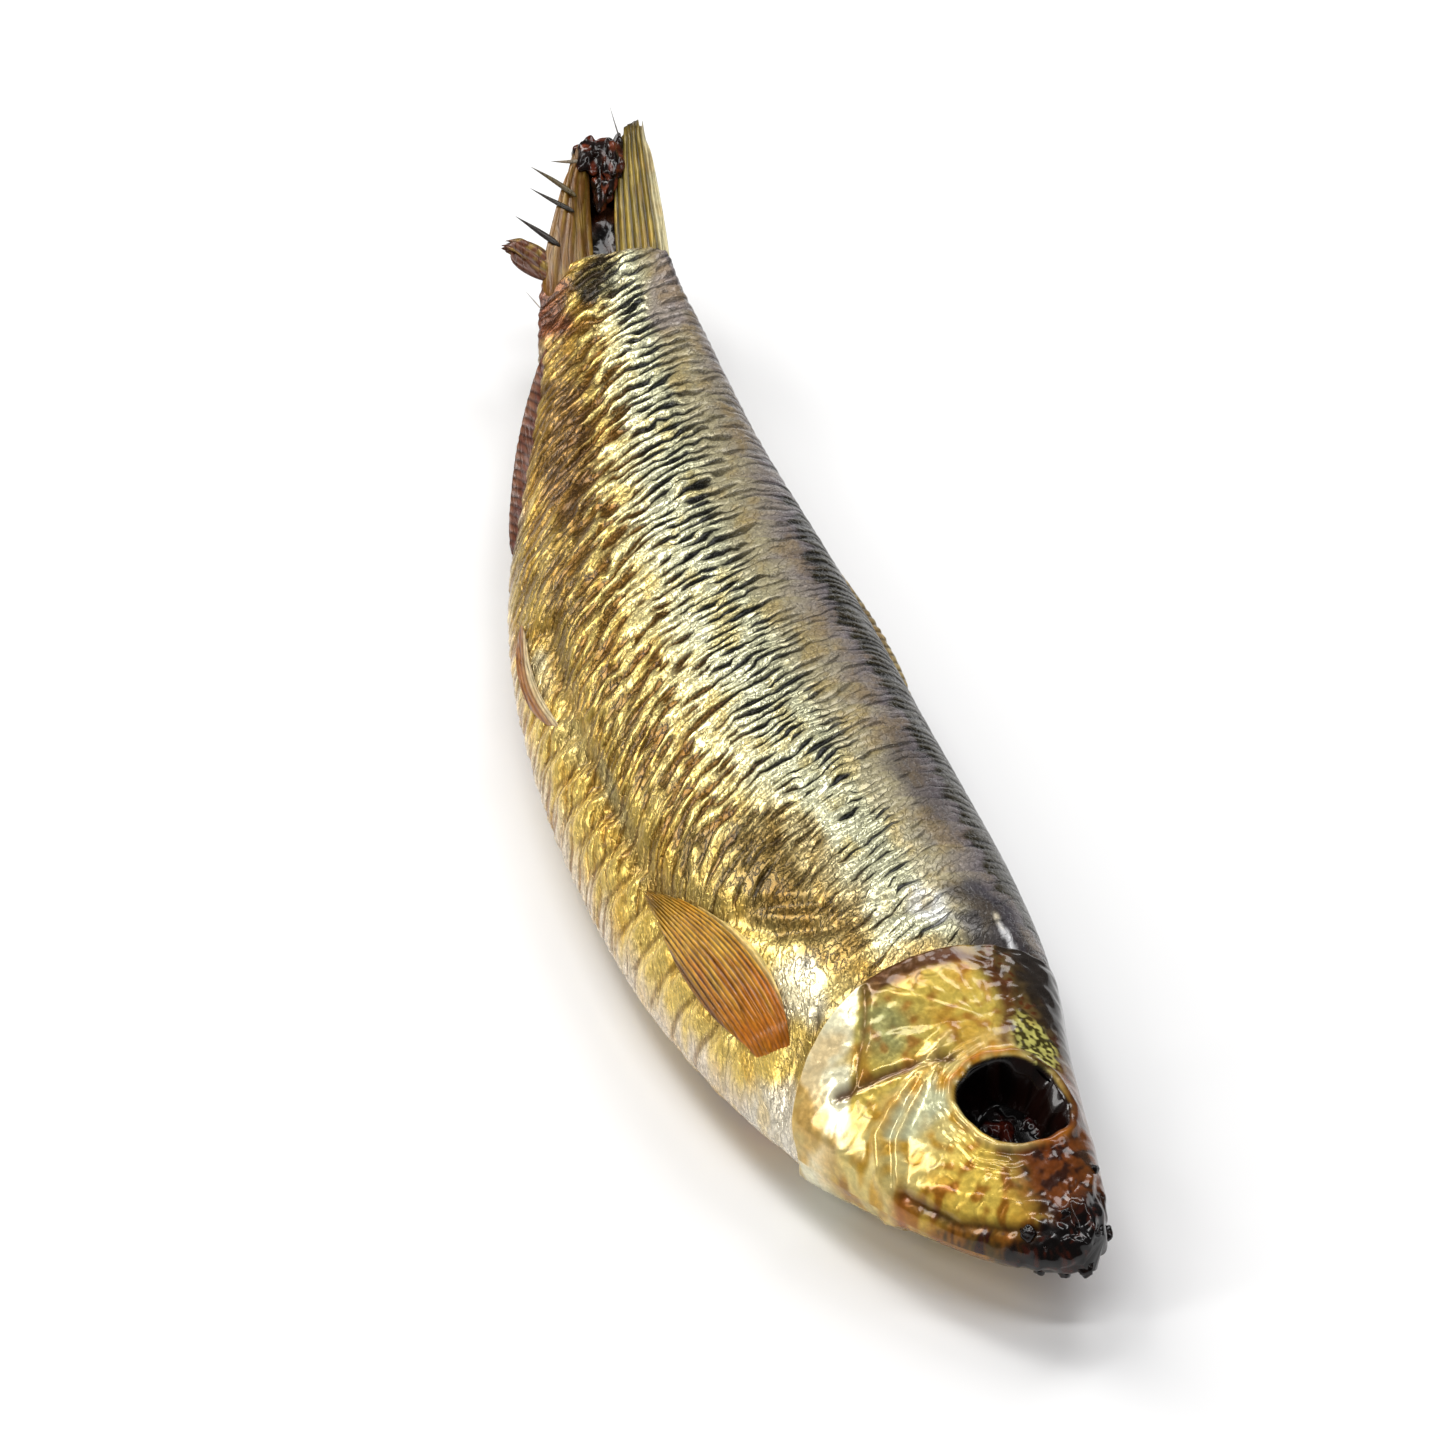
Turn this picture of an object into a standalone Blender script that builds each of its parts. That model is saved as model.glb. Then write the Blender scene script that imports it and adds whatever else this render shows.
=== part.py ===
"""A whole smoked sprat, lying on its left side with its back slightly hollow.

Lengths here are in millimetres and become metres where the vertices are placed.
A point on the fish has three numbers: along, from the snout back down the spine;
across, from the spine towards the back (positive) or the belly (negative); and
out, from the fish's middle plane towards the side that faces up.
"""

import math

import bmesh
import bpy
from mathutils import Vector, noise

MM = 0.001

# Body
BODY_LENGTH = 96.0
SPINE_ROLL = 8.0  # degrees by which the back is lifted off the belly
SPINE_START = (50.95, 8.18)  # snout end of the spine, which centres the whole fish
MID_HEIGHT = 5.45  # middle plane above the surface that the fish lies on
TAIL_LIFT = 4.0  # how much higher the dried tail stands
TAIL_LIFT_FROM = 60.0
BACK_ROUNDNESS = 2.3  # superellipse exponent of the back
BELLY_KEEL = 1.65  # and of the belly, which is keeled
TAIL_END_ROUND = 1.2

# Along, heading of the spine in degrees, depth to the back, depth to the belly, half thickness
STATIONS = (
    (0.3, 22.5, 0.7, 1.2, 0.8),
    (0.9, 22.0, 1.7, 2.1, 1.4),
    (2.5, 21.5, 2.9, 3.6, 2.1),
    (6.0, 20.4, 4.2, 5.6, 3.1),
    (12.0, 17.0, 6.8, 7.7, 4.4),
    (18.0, 12.0, 9.1, 9.3, 5.4),
    (24.0, 8.0, 10.5, 10.5, 5.9),
    (32.0, 4.5, 11.2, 11.6, 6.2),
    (44.0, 0.3, 11.0, 12.1, 6.1),
    (56.0, -3.5, 10.1, 11.8, 5.3),
    (66.0, -6.5, 8.5, 10.7, 4.4),
    (76.0, -9.3, 6.2, 8.4, 3.2),
    (86.0, -11.8, 3.8, 6.4, 2.0),
    (92.0, -13.1, 2.6, 5.3, 1.5),
    (96.0, -13.6, 2.1, 4.8, 1.2),
)

# Rings of the body: share of all the rings in the head, the ribbed belly and the rest
RINGS = 110
AROUND = 40
RING_ZONES = ((0.3, 0.0), (22.0, 0.32), (52.0, 0.68), (96.0, 1.0))

# Head, seen from the side: places are (along, across)
HEAD_LENGTH = 26.0
EYE_CENTRE = (10.1, 1.0)
EYE_REACH = (3.35, 2.6)
EYE_DEPTH = 2.2
EYE_RIM = 0.25
EYE_RIM_WIDTH = 0.2
GILL_EDGE = 20.8  # hind edge of the gill cover where it reaches furthest back
GILL_BOW = 0.035
GILL_LENGTH = 9.0
GILL_RISE = 0.55
GILL_STEP = 0.4
CREASE_DEPTH = 0.35
CREASE_WIDTH = 0.9
MOUTH_LINE = ((0.4, 0.2), (4.2, -2.9), (6.4, -4.6), (9.9, -5.8))
MOUTH_DEPTH = 0.35
MOUTH_WIDTH = 0.5
CHEEK_RIDGE = ((14.6, -2.2), (13.7, -3.4), (13.3, -5.6), (9.8, -6.2))
CHEEK_RISE = 0.3
CHEEK_WIDTH = 0.7
SNOUT_SLANT = 0.5  # how much further back the upper lip ends than the lower jaw
SNOUT_SLANT_REACH = 7.0
JAW_TIP = 0.8  # how far below the spine the lower jaw ends
CHAR_REACH = 5.0
CHAR_HEIGHT = 0.3
CHAR_GRAIN = 1.4

# Belly
RIB_FIRST = 21.5
RIB_LAST = 53.0
RIB_STEP = 2.5
RIB_HEIGHT = 0.22
RIB_FADE = 3.0
RIB_TOP = (7.6, 9.2)  # depth below the spine where the ribs begin to show and stand full
RIB_BOTTOM = (11.0, 11.9)
BELLY_FOLD = ((30.0, -7.6), (37.4, -8.6), (50.1, -9.2), (60.0, -8.8))
FOLD_DEPTH = 0.4
FOLD_WIDTH = 0.9
GILL_FOLD = ((36.0, -7.8), (28.5, -4.6), (24.5, -1.0), (22.5, 4.5))
GILL_FOLD_DEPTH = 0.24
GILL_FOLD_WIDTH = 0.8


def smooth_step(x, low, high):
    t = min(1.0, max(0.0, (x - low) / (high - low)))
    return t * t * (3.0 - 2.0 * t)


def station_value(along, column):
    """Reads one column of STATIONS through a smooth curve."""
    last = len(STATIONS) - 1
    i = 0
    while i < last - 1 and along > STATIONS[i + 1][0]:
        i += 1
    x0, x1 = STATIONS[i][0], STATIONS[i + 1][0]
    y0, y1 = STATIONS[i][column], STATIONS[i + 1][column]

    def slope(k):
        a, b = max(0, k - 1), min(last, k + 1)
        return (STATIONS[b][column] - STATIONS[a][column]) / (STATIONS[b][0] - STATIONS[a][0])

    span = x1 - x0
    t = min(1.0, max(0.0, (along - x0) / span))
    rise = y0 + (y1 - y0) * t * t * (3.0 - 2.0 * t)
    return rise + span * (slope(i) * t * (1.0 - t) ** 2 - slope(i + 1) * t * t * (1.0 - t))


def spine_table(step=0.25, reach=112.0):
    """Walks from the snout to the tail and keeps the spine's place and heading."""
    x, y = SPINE_START
    table = []
    for i in range(int(reach / step) + 1):
        heading = math.radians(station_value(i * step, 1))
        table.append((x, y, heading))
        x -= math.cos(heading) * step
        y -= math.sin(heading) * step
    return step, table


SPINE_STEP, SPINE = spine_table()


def place(along, across, out):
    """World position, in metres, of a point given along, across and out."""
    spot = min(max(along / SPINE_STEP, 0.0), len(SPINE) - 1.001)
    i = int(spot)
    t = spot - i
    x, y, heading = (a + (b - a) * t for a, b in zip(SPINE[i], SPINE[i + 1]))
    roll = math.radians(SPINE_ROLL)
    level = across * math.cos(roll) - out * math.sin(roll)
    lift = TAIL_LIFT * (max(0.0, along - TAIL_LIFT_FROM) / (BODY_LENGTH - TAIL_LIFT_FROM)) ** 2
    z = MID_HEIGHT + lift + out * math.cos(roll) + across * math.sin(roll)
    return Vector((x - math.sin(heading) * level, y + math.cos(heading) * level, z)) * MM


def floor_reach(across, gap):
    """How far out a point can stand on the side that lies down and clear the floor by gap."""
    roll = math.radians(SPINE_ROLL)
    return (MID_HEIGHT + across * math.sin(roll) - gap) / math.cos(roll)


def end_scale(along):
    """Rounds off the stump of the tail."""
    t = max(0.0, (along - (BODY_LENGTH - TAIL_END_ROUND)) / TAIL_END_ROUND)
    return math.sqrt(max(0.0, 1.0 - t * t))


def flank(along, across):
    """How far the bare flank stands out at a point."""
    depth = station_value(along, 2 if across > 0.0 else 3)
    round_off = BACK_ROUNDNESS if across > 0.0 else BELLY_KEEL
    q = min(1.0, abs(across) / depth)
    power = 2.0 if across < 0.0 else round_off
    return station_value(along, 4) * (1.0 - q ** power) ** (1.0 / round_off)


def line_distance(along, across, line):
    """Distance from a point of the flank to a broken line drawn on it."""
    p = Vector((along, across))
    nearest = 1000.0
    for a, b in zip(line, line[1:]):
        a, b = Vector(a), Vector(b)
        t = min(1.0, max(0.0, (p - a).dot(b - a) / (b - a).length_squared))
        nearest = min(nearest, (p - a.lerp(b, t)).length)
    return nearest


def ridge(distance, width):
    return math.exp(-((distance / width) ** 2))


def head_relief(along, across):
    """Gill cover, eye hollow, cheek ridge and mouth."""
    edge = GILL_EDGE - GILL_BOW * (across - EYE_CENTRE[1]) ** 2
    height = GILL_RISE * smooth_step(along, edge - GILL_LENGTH, edge - 1.0)
    height *= 1.0 - smooth_step(along, edge - GILL_STEP, edge + GILL_STEP)
    height -= CREASE_DEPTH * ridge(along - edge - CREASE_WIDTH, CREASE_WIDTH)
    height += CHEEK_RISE * ridge(line_distance(along, across, CHEEK_RIDGE), CHEEK_WIDTH)
    height -= MOUTH_DEPTH * ridge(line_distance(along, across, MOUTH_LINE), MOUTH_WIDTH)
    socket = math.hypot((along - EYE_CENTRE[0]) / EYE_REACH[0], (across - EYE_CENTRE[1]) / EYE_REACH[1])
    height = height * smooth_step(socket, 0.9, 1.4) + EYE_RIM * ridge(socket - 1.15, EYE_RIM_WIDTH)
    return height - EYE_DEPTH * (1.0 - smooth_step(socket, 0.55, 1.08))


def belly_relief(along, across):
    """Ribs along the keel and the folds that part the belly from the flank."""
    window = smooth_step(along, RIB_FIRST, RIB_FIRST + RIB_FADE)
    window *= 1.0 - smooth_step(along, RIB_LAST - RIB_FADE, RIB_LAST)
    window *= smooth_step(-across, *RIB_TOP) * (1.0 - smooth_step(-across, *RIB_BOTTOM))
    ribs = RIB_HEIGHT * window * math.cos(2.0 * math.pi * (along - RIB_FIRST) / RIB_STEP)
    fold = FOLD_DEPTH * ridge(line_distance(along, across, BELLY_FOLD), FOLD_WIDTH)
    gill_fold = GILL_FOLD_DEPTH * ridge(line_distance(along, across, GILL_FOLD), GILL_FOLD_WIDTH)
    return ribs - fold - gill_fold


def skin(along, turn):
    """Point on the skin: turn 0 is the ridge of the back, 90 degrees the flank that faces up."""
    c, s = math.cos(turn), math.sin(turn)
    depth = station_value(along, 2 if c > 0.0 else 3)
    power_across = 2.0 / BACK_ROUNDNESS if c > 0.0 else 1.0
    power_out = 2.0 / (BACK_ROUNDNESS if c > 0.0 else BELLY_KEEL)
    shrink = end_scale(along)
    across = math.copysign(depth * abs(c) ** power_across, c)
    out = station_value(along, 4) * abs(s) ** power_out
    face = smooth_step(abs(s), 0.1, 0.5)
    relief = (head_relief(along, across) if along < HEAD_LENGTH else 0.0) + belly_relief(along, across)
    out = math.copysign(max(0.0, out + relief * face), s)
    char = CHAR_HEIGHT * (1.0 - smooth_step(along, 0.55 * CHAR_REACH, CHAR_REACH))
    bump = char * noise.noise(Vector((along, across, out)) * CHAR_GRAIN)
    slant = SNOUT_SLANT * max(0.0, across + JAW_TIP) * (1.0 - smooth_step(along, 0.0, SNOUT_SLANT_REACH))
    return place(along + slant - bump, across * shrink, out * shrink + bump * s)


def new_object(name, mesh, material):
    mesh.materials.append(material)
    thing = bpy.data.objects.new(name, mesh)
    bpy.context.scene.collection.objects.link(thing)
    return thing


def new_material(name, colour, roughness, metallic):
    material = bpy.data.materials.new(name)
    material.use_nodes = True
    shader = material.node_tree.nodes["Principled BSDF"]
    shader.inputs["Base Color"].default_value = (*colour, 1.0)
    shader.inputs["Roughness"].default_value = roughness
    shader.inputs["Metallic"].default_value = metallic
    return material


def ring_station(share):
    """Place of a ring along the body, closer together in the head and along the ribs."""
    for (a0, s0), (a1, s1) in zip(RING_ZONES, RING_ZONES[1:]):
        if share <= s1:
            return a0 + (a1 - a0) * (share - s0) / (s1 - s0)
    return BODY_LENGTH


def make_body(material):
    """A ball of rings and spokes, drawn out along the spine into head, trunk and tail root."""
    bm = bmesh.new()
    bmesh.ops.create_uvsphere(bm, u_segments=AROUND, v_segments=RINGS, radius=1.0)
    for vert in bm.verts:
        share = math.acos(max(-1.0, min(1.0, vert.co.z))) / math.pi
        turn = math.atan2(vert.co.y, vert.co.x)
        vert.co = skin(ring_station(share), turn)
        vert.co.z = max(0.0, vert.co.z)
    mesh = bpy.data.meshes.new("sprat")
    bm.to_mesh(mesh)
    bm.free()
    return new_object("sprat", mesh, material)


def make_blade(name, rings, spokes, shape, thickness, material):
    """A thin fin: a ball pressed flat along shape(s, t), where s runs from root to tip and t across."""
    bm = bmesh.new()
    bmesh.ops.create_uvsphere(bm, u_segments=spokes, v_segments=rings, radius=1.0)
    for vert in bm.verts:
        s = math.acos(max(-1.0, min(1.0, vert.co.z))) / math.pi
        turn = math.atan2(vert.co.y, vert.co.x)
        fill = math.sin(math.pi * s) ** 0.35 if 0.001 < s < 0.999 else 0.0
        along, across, out = shape(s, 0.5 + 0.5 * fill * math.cos(turn))
        vert.co = place(along, across, out + 0.5 * thickness * fill * math.sin(turn))
    if bm.calc_volume(signed=True) < 0.0:
        bmesh.ops.reverse_faces(bm, faces=bm.faces)
    mesh = bpy.data.meshes.new(name)
    bm.to_mesh(mesh)
    bm.free()
    return new_object(name, mesh, material)


def bow(a, b, c, t):
    """Point at t on the curve that starts at a, passes b half way and ends at c."""
    return tuple(
        p * (1.0 - t) * (1.0 - 2.0 * t) + 4.0 * q * t * (1.0 - t) + r * t * (2.0 * t - 1.0)
        for p, q, r in zip(a, b, c)
    )


# Breast fin, folded back against the belly: its two edges as (along, across)
BREAST_UPPER = ((19.6, -7.0), (28.0, -6.7), (36.6, -9.8))
BREAST_LOWER = ((21.0, -9.2), (29.5, -9.8), (36.6, -10.4))
BREAST_SINK = 0.2  # how deep the middle of its thickness lies at the root
BREAST_LIFT = 0.2  # and how much higher at the tip
BREAST_BELLY = 0.25
BREAST_THICKNESS = 0.7
BREAST_CLEARANCE = 0.4  # between the middle of the lower fin's thickness and the floor


def breast_fin(side):
    def shape(s, t):
        upper = bow(*BREAST_UPPER, s)
        lower = bow(*BREAST_LOWER, s)
        along, across = (u + (v - u) * t for u, v in zip(upper, lower))
        out = flank(along, across) + BREAST_LIFT * s + BREAST_BELLY * math.sin(math.pi * s) - BREAST_SINK
        if side < 0.0:
            out = min(out, floor_reach(across, BREAST_CLEARANCE))
        return along, across, side * out

    return shape


# Fins folded flat along the keel and the ridge of the back: where each starts and ends, and how
# far it stands off
FIN_SINK = 0.9  # how deep the roots reach into the body
ANAL_SPAN = (69.0, 86.0)
ANAL_HEIGHT = 0.8
ANAL_LEAN = 0.35
ANAL_SWEEP = 1.2
PELVIC_ROOT = (52.0, 55.0)
PELVIC_LENGTH = 9.5
PELVIC_BOW = 0.55
PELVIC_LIFT = 0.25
DORSAL_SPAN = (46.0, 71.0)
DORSAL_HEIGHT = 0.9
DORSAL_LEAN = (0.7, 0.6)  # towards the side that lies down: at the root, and more at the edge
BLADE_THICKNESS = 0.55


def anal_fin(s, t):
    along = ANAL_SPAN[0] + (ANAL_SPAN[1] - ANAL_SPAN[0]) * s
    stand = ANAL_HEIGHT * math.sin(math.pi * (0.12 + 0.86 * s)) ** 0.7
    across = FIN_SINK - station_value(along, 3) - (FIN_SINK + stand) * t
    return along + ANAL_SWEEP * t, across, ANAL_LEAN * t


def pelvic_fin(side):
    def shape(s, t):
        along = PELVIC_ROOT[0] + (PELVIC_ROOT[1] - PELVIC_ROOT[0]) * t + PELVIC_LENGTH * s
        keel = station_value(along, 3)
        width = FIN_SINK * (1.0 - t) * (1.0 - 0.7 * s)
        across = FIN_SINK - keel + width - PELVIC_BOW * math.sin(math.pi * s)
        return along, across, side * (flank(along, max(across, 0.7 - keel)) + PELVIC_LIFT * s)

    return shape


def dorsal_fin(s, t):
    along = DORSAL_SPAN[0] + (DORSAL_SPAN[1] - DORSAL_SPAN[0]) * s
    stand = DORSAL_HEIGHT * math.sin(math.pi * s ** 0.8) ** 0.8
    across = station_value(along, 2) - FIN_SINK + (FIN_SINK + stand) * t
    return along, across, -DORSAL_LEAN[0] - DORSAL_LEAN[1] * t


# Tail fin, shut and dried: two lobes with the web between them sunk into a trough, where a burnt
# lump sits. Edges are given across at the root, half way and at the tip.
TAIL_ROOT = 92.4
UPPER_LOBE = ((-1.6, 2.1), (-1.3, 1.8), (-0.6, 0.8))
LOWER_LOBE = ((-4.8, -2.0), (-4.6, -2.2), (-4.0, -2.6))
TAIL_WEB = ((-4.0, 1.0), (-3.8, 0.6), (-3.6, 0.0))
UPPER_REACH = 11.4
LOWER_REACH = 9.6
WEB_REACH = 8.8
TAIL_RISE = 1.1
LOBE_CURL = 0.9
WEB_SINK = 0.9
TAIL_THICKNESS = 0.8
LUMP_CENTRE = (100.2, -1.8, 0.4)
LUMP_REACH = (2.1, 1.5, 1.0)
LUMP_ROUGHNESS = 0.35
LUMP_GRAIN = 2.1


def tail_lobe(edges, reach, inner_edge):
    """One lobe, whose edge at t = inner_edge curls down towards the trough."""

    def shape(s, t):
        low, high = bow(*edges, s)
        curl = LOBE_CURL * (1.0 - abs(t - inner_edge)) ** 2
        return TAIL_ROOT + reach * s, low + (high - low) * t, TAIL_RISE * s - curl

    return shape


def tail_web(s, t):
    low, high = bow(*TAIL_WEB, s)
    return TAIL_ROOT + WEB_REACH * s, low + (high - low) * t, TAIL_RISE * s - WEB_SINK


def make_lump(material):
    bm = bmesh.new()
    bmesh.ops.create_icosphere(bm, subdivisions=2, radius=1.0)
    for vert in bm.verts:
        grow = 1.0 + LUMP_ROUGHNESS * noise.noise(vert.co * LUMP_GRAIN)
        reach = (c + r * v * grow for c, r, v in zip(LUMP_CENTRE, LUMP_REACH, vert.co))
        vert.co = place(*reach)
    bmesh.ops.recalc_face_normals(bm, faces=bm.faces)
    mesh = bpy.data.meshes.new("tail_lump")
    bm.to_mesh(mesh)
    bm.free()
    return new_object("tail_lump", mesh, material)


def join_solids(body, parts):
    """One union of the body with everything that grows out of it."""
    group = bpy.data.collections.new("fins")
    bpy.context.scene.collection.children.link(group)
    for part in parts:
        group.objects.link(part)
        bpy.context.scene.collection.objects.unlink(part)
    union = body.modifiers.new("fins", "BOOLEAN")
    union.operation = "UNION"
    union.operand_type = "COLLECTION"
    union.collection = group
    union.solver = "EXACT"
    union.material_mode = "TRANSFER"
    bpy.context.view_layer.update()
    result = bpy.data.meshes.new_from_object(body.evaluated_get(bpy.context.evaluated_depsgraph_get()))
    body.modifiers.clear()
    body.data = result
    for part in parts:
        bpy.data.objects.remove(part)
    bpy.data.collections.remove(group)


def split_faces(body):
    """Splits every face into triangles, as the union leaves some with many sides."""
    bm = bmesh.new()
    bm.from_mesh(body.data)
    bmesh.ops.triangulate(bm, faces=bm.faces)
    bm.to_mesh(body.data)
    bm.free()
    body.data.shade_smooth()


def main():
    for thing in list(bpy.data.objects):
        bpy.data.objects.remove(thing)
    skin_material = new_material("smoked_skin", (0.62, 0.47, 0.16), 0.34, 0.75)
    fin_material = new_material("dried_fin", (0.42, 0.22, 0.05), 0.45, 0.0)
    char_material = new_material("burnt_tip", (0.035, 0.015, 0.008), 0.3, 0.0)
    body = make_body(skin_material)
    blades = (
        ("breast_fin_up", 14, 10, breast_fin(1.0), BREAST_THICKNESS),
        ("breast_fin_down", 14, 10, breast_fin(-1.0), BREAST_THICKNESS),
        ("anal_fin", 16, 8, anal_fin, BLADE_THICKNESS),
        ("pelvic_fin_up", 10, 8, pelvic_fin(1.0), BLADE_THICKNESS),
        ("pelvic_fin_down", 10, 8, pelvic_fin(-1.0), BLADE_THICKNESS),
        ("dorsal_fin", 14, 8, dorsal_fin, BLADE_THICKNESS),
        ("tail_upper", 12, 14, tail_lobe(UPPER_LOBE, UPPER_REACH, 0.0), TAIL_THICKNESS),
        ("tail_lower", 12, 14, tail_lobe(LOWER_LOBE, LOWER_REACH, 1.0), TAIL_THICKNESS),
        ("tail_web", 10, 12, tail_web, TAIL_THICKNESS),
    )
    fins = [make_blade(*blade, fin_material) for blade in blades]
    join_solids(body, fins + [make_lump(char_material)])
    split_faces(body)


main()
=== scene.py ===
from math import atan2, copysign, cos, exp, hypot, pi, radians, sin, sqrt

import bmesh
import bpy
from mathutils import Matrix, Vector, noise


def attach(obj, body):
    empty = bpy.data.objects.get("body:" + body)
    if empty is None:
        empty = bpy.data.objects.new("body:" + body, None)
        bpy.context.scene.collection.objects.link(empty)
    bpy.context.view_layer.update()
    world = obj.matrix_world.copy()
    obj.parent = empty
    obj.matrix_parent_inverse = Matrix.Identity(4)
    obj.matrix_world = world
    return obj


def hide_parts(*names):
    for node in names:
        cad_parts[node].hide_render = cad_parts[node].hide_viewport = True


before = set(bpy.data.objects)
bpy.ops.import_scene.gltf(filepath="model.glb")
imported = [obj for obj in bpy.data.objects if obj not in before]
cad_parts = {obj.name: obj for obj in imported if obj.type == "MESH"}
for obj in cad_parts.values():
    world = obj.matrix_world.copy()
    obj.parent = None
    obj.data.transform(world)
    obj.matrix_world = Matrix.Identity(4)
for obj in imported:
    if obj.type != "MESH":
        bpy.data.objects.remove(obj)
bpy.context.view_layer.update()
detail = 1.0
print("frame loaded")

# The fish has its own measures, in mm: along, from the snout back down the spine; across, towards
# the back (positive) or the belly; and out, towards the flank that faces up.
mm = 0.001
body = dict(
    length=96.0, roll=8.0, start=(50.95, 8.18), midHeight=5.45, tailLift=4.0, tailLiftFrom=60.0,
    backRound=2.3, bellyKeel=1.65, tableStep=0.25, tableReach=112.0,
)

# along, heading in degrees, depth to the back, depth to the belly, half thickness
stations = (
    (0.3, 22.5, 0.7, 1.2, 0.8),
    (0.9, 22.0, 1.7, 2.1, 1.4),
    (2.5, 21.5, 2.9, 3.6, 2.1),
    (6.0, 20.4, 4.2, 5.6, 3.1),
    (12.0, 17.0, 6.8, 7.7, 4.4),
    (18.0, 12.0, 9.1, 9.3, 5.4),
    (24.0, 8.0, 10.5, 10.5, 5.9),
    (32.0, 4.5, 11.2, 11.6, 6.2),
    (44.0, 0.3, 11.0, 12.1, 6.1),
    (56.0, -3.5, 10.1, 11.8, 5.3),
    (66.0, -6.5, 8.5, 10.7, 4.4),
    (76.0, -9.3, 6.2, 8.4, 3.2),
    (86.0, -11.8, 3.8, 6.4, 2.0),
    (92.0, -13.1, 2.6, 5.3, 1.5),
    (96.0, -13.6, 2.1, 4.8, 1.2),
)


def mix(a, b, t):
    return a + (b - a) * t


def smoothStep(x, low, high):
    t = min(1.0, max(0.0, (x - low) / (high - low)))
    return t * t * (3.0 - 2.0 * t)


def fadeOut(x, low, high):
    return 1.0 - smoothStep(x, low, high)


def stationValue(along, column):
    last = len(stations) - 1
    i = 0
    while i < last - 1 and along > stations[i + 1][0]:
        i += 1
    x0, x1 = stations[i][0], stations[i + 1][0]
    y0, y1 = stations[i][column], stations[i + 1][column]

    def slope(k):
        a, b = max(0, k - 1), min(last, k + 1)
        return (stations[b][column] - stations[a][column]) / (stations[b][0] - stations[a][0])

    t = min(1.0, max(0.0, (along - x0) / (x1 - x0)))
    rise = y0 + (y1 - y0) * t * t * (3.0 - 2.0 * t)
    return rise + (x1 - x0) * (slope(i) * t * (1.0 - t) ** 2 - slope(i + 1) * t * t * (1.0 - t))


# One row of numbers every quarter of a millimetre, so that a vertex only has to look one up
def walkSpine():
    x, y = body["start"]
    rows = []
    for i in range(int(body["tableReach"] / body["tableStep"]) + 1):
        along = i * body["tableStep"]
        heading = radians(stationValue(along, 1))
        rows.append((x, y, heading) + tuple(stationValue(along, k) for k in (2, 3, 4)))
        x -= cos(heading) * body["tableStep"]
        y -= sin(heading) * body["tableStep"]
    return rows


spine = walkSpine()


def spineRow(along):
    spot = min(max(along / body["tableStep"], 0.0), len(spine) - 1.001)
    i = int(spot)
    t = spot - i
    return [a + (b - a) * t for a, b in zip(spine[i], spine[i + 1])]


rollCos = cos(radians(body["roll"]))
rollSin = sin(radians(body["roll"]))


def place(along, across, out):
    x, y, heading = spineRow(along)[:3]
    level = across * rollCos - out * rollSin
    tail = max(0.0, along - body["tailLiftFrom"]) / (body["length"] - body["tailLiftFrom"])
    z = max(0.0, body["midHeight"] + body["tailLift"] * tail ** 2 + out * rollCos + across * rollSin)
    return Vector((x - sin(heading) * level, y + cos(heading) * level, z)) * mm


# The bare section: where the skin is at this turn, and which way it faces there
def section(along, turn):
    back, belly, half = spineRow(along)[3:]
    c, s = cos(turn), sin(turn)
    depth = back if c > 0.0 else belly
    bend = body["backRound"] if c > 0.0 else body["bellyKeel"]
    across = copysign(depth * abs(c) ** (2.0 / body["backRound"] if c > 0.0 else 1.0), c)
    out = copysign(half * abs(s) ** (2.0 / bend), s)
    lean = hypot(c / depth, s / half)
    return across, out, c / depth / lean, s / half / lean


def flank(along, across):
    back, belly, half = spineRow(along)[3:]
    depth = back if across > 0.0 else belly
    bend = body["backRound"] if across > 0.0 else body["bellyKeel"]
    q = min(1.0, abs(across) / depth)
    return half * (1.0 - q ** (bend if across > 0.0 else 2.0)) ** (1.0 / bend)


# Up from 0 to 1 and down again while x goes from 0 to 1
def arch(x):
    return sin(pi * x)


def wave(x, y, z=0.0):
    return noise.noise(Vector((x, y, z)))


def ridge(distance, width):
    return exp(-((distance / width) ** 2)) if abs(distance) < 3.0 * width else 0.0


def lineDistance(along, across, line):
    nearest = 1000.0
    for (ax, ay), (bx, by) in zip(line, line[1:]):
        dx, dy = bx - ax, by - ay
        t = ((along - ax) * dx + (across - ay) * dy) / (dx * dx + dy * dy)
        t = min(1.0, max(0.0, t))
        nearest = min(nearest, hypot(along - ax - dx * t, across - ay - dy * t))
    return nearest


# Colours are written as they look on a screen, from 0 to 255
def paint(r, g, b):
    return tuple(((v / 255.0 + 0.055) / 1.055) ** 2.4 if v > 10 else v / 3294.0 for v in (r, g, b))


def blend(a, b, t):
    return tuple(mix(p, q, t) for p, q in zip(a, b))


# Two colours, the second where the noise value is between low and high or above
def mottle(a, b, value, low, high):
    return blend(a, b, smoothStep(value, low, high))


def stops(rows, x):
    if x <= rows[0][0]:
        return rows[0][1:]
    for a, b in zip(rows, rows[1:]):
        if x <= b[0]:
            t = (x - a[0]) / (b[0] - a[0])
            return tuple(blend(p, q, t) if isinstance(p, tuple) else mix(p, q, t)
                         for p, q in zip(a[1:], b[1:]))
    return rows[-1][1:]


# A wrinkle runs from the back down to the belly and towards the head
def flow(across):
    return 0.46 * across - (0.042 * across * across if across < 0.0 else 0.0)


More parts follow.
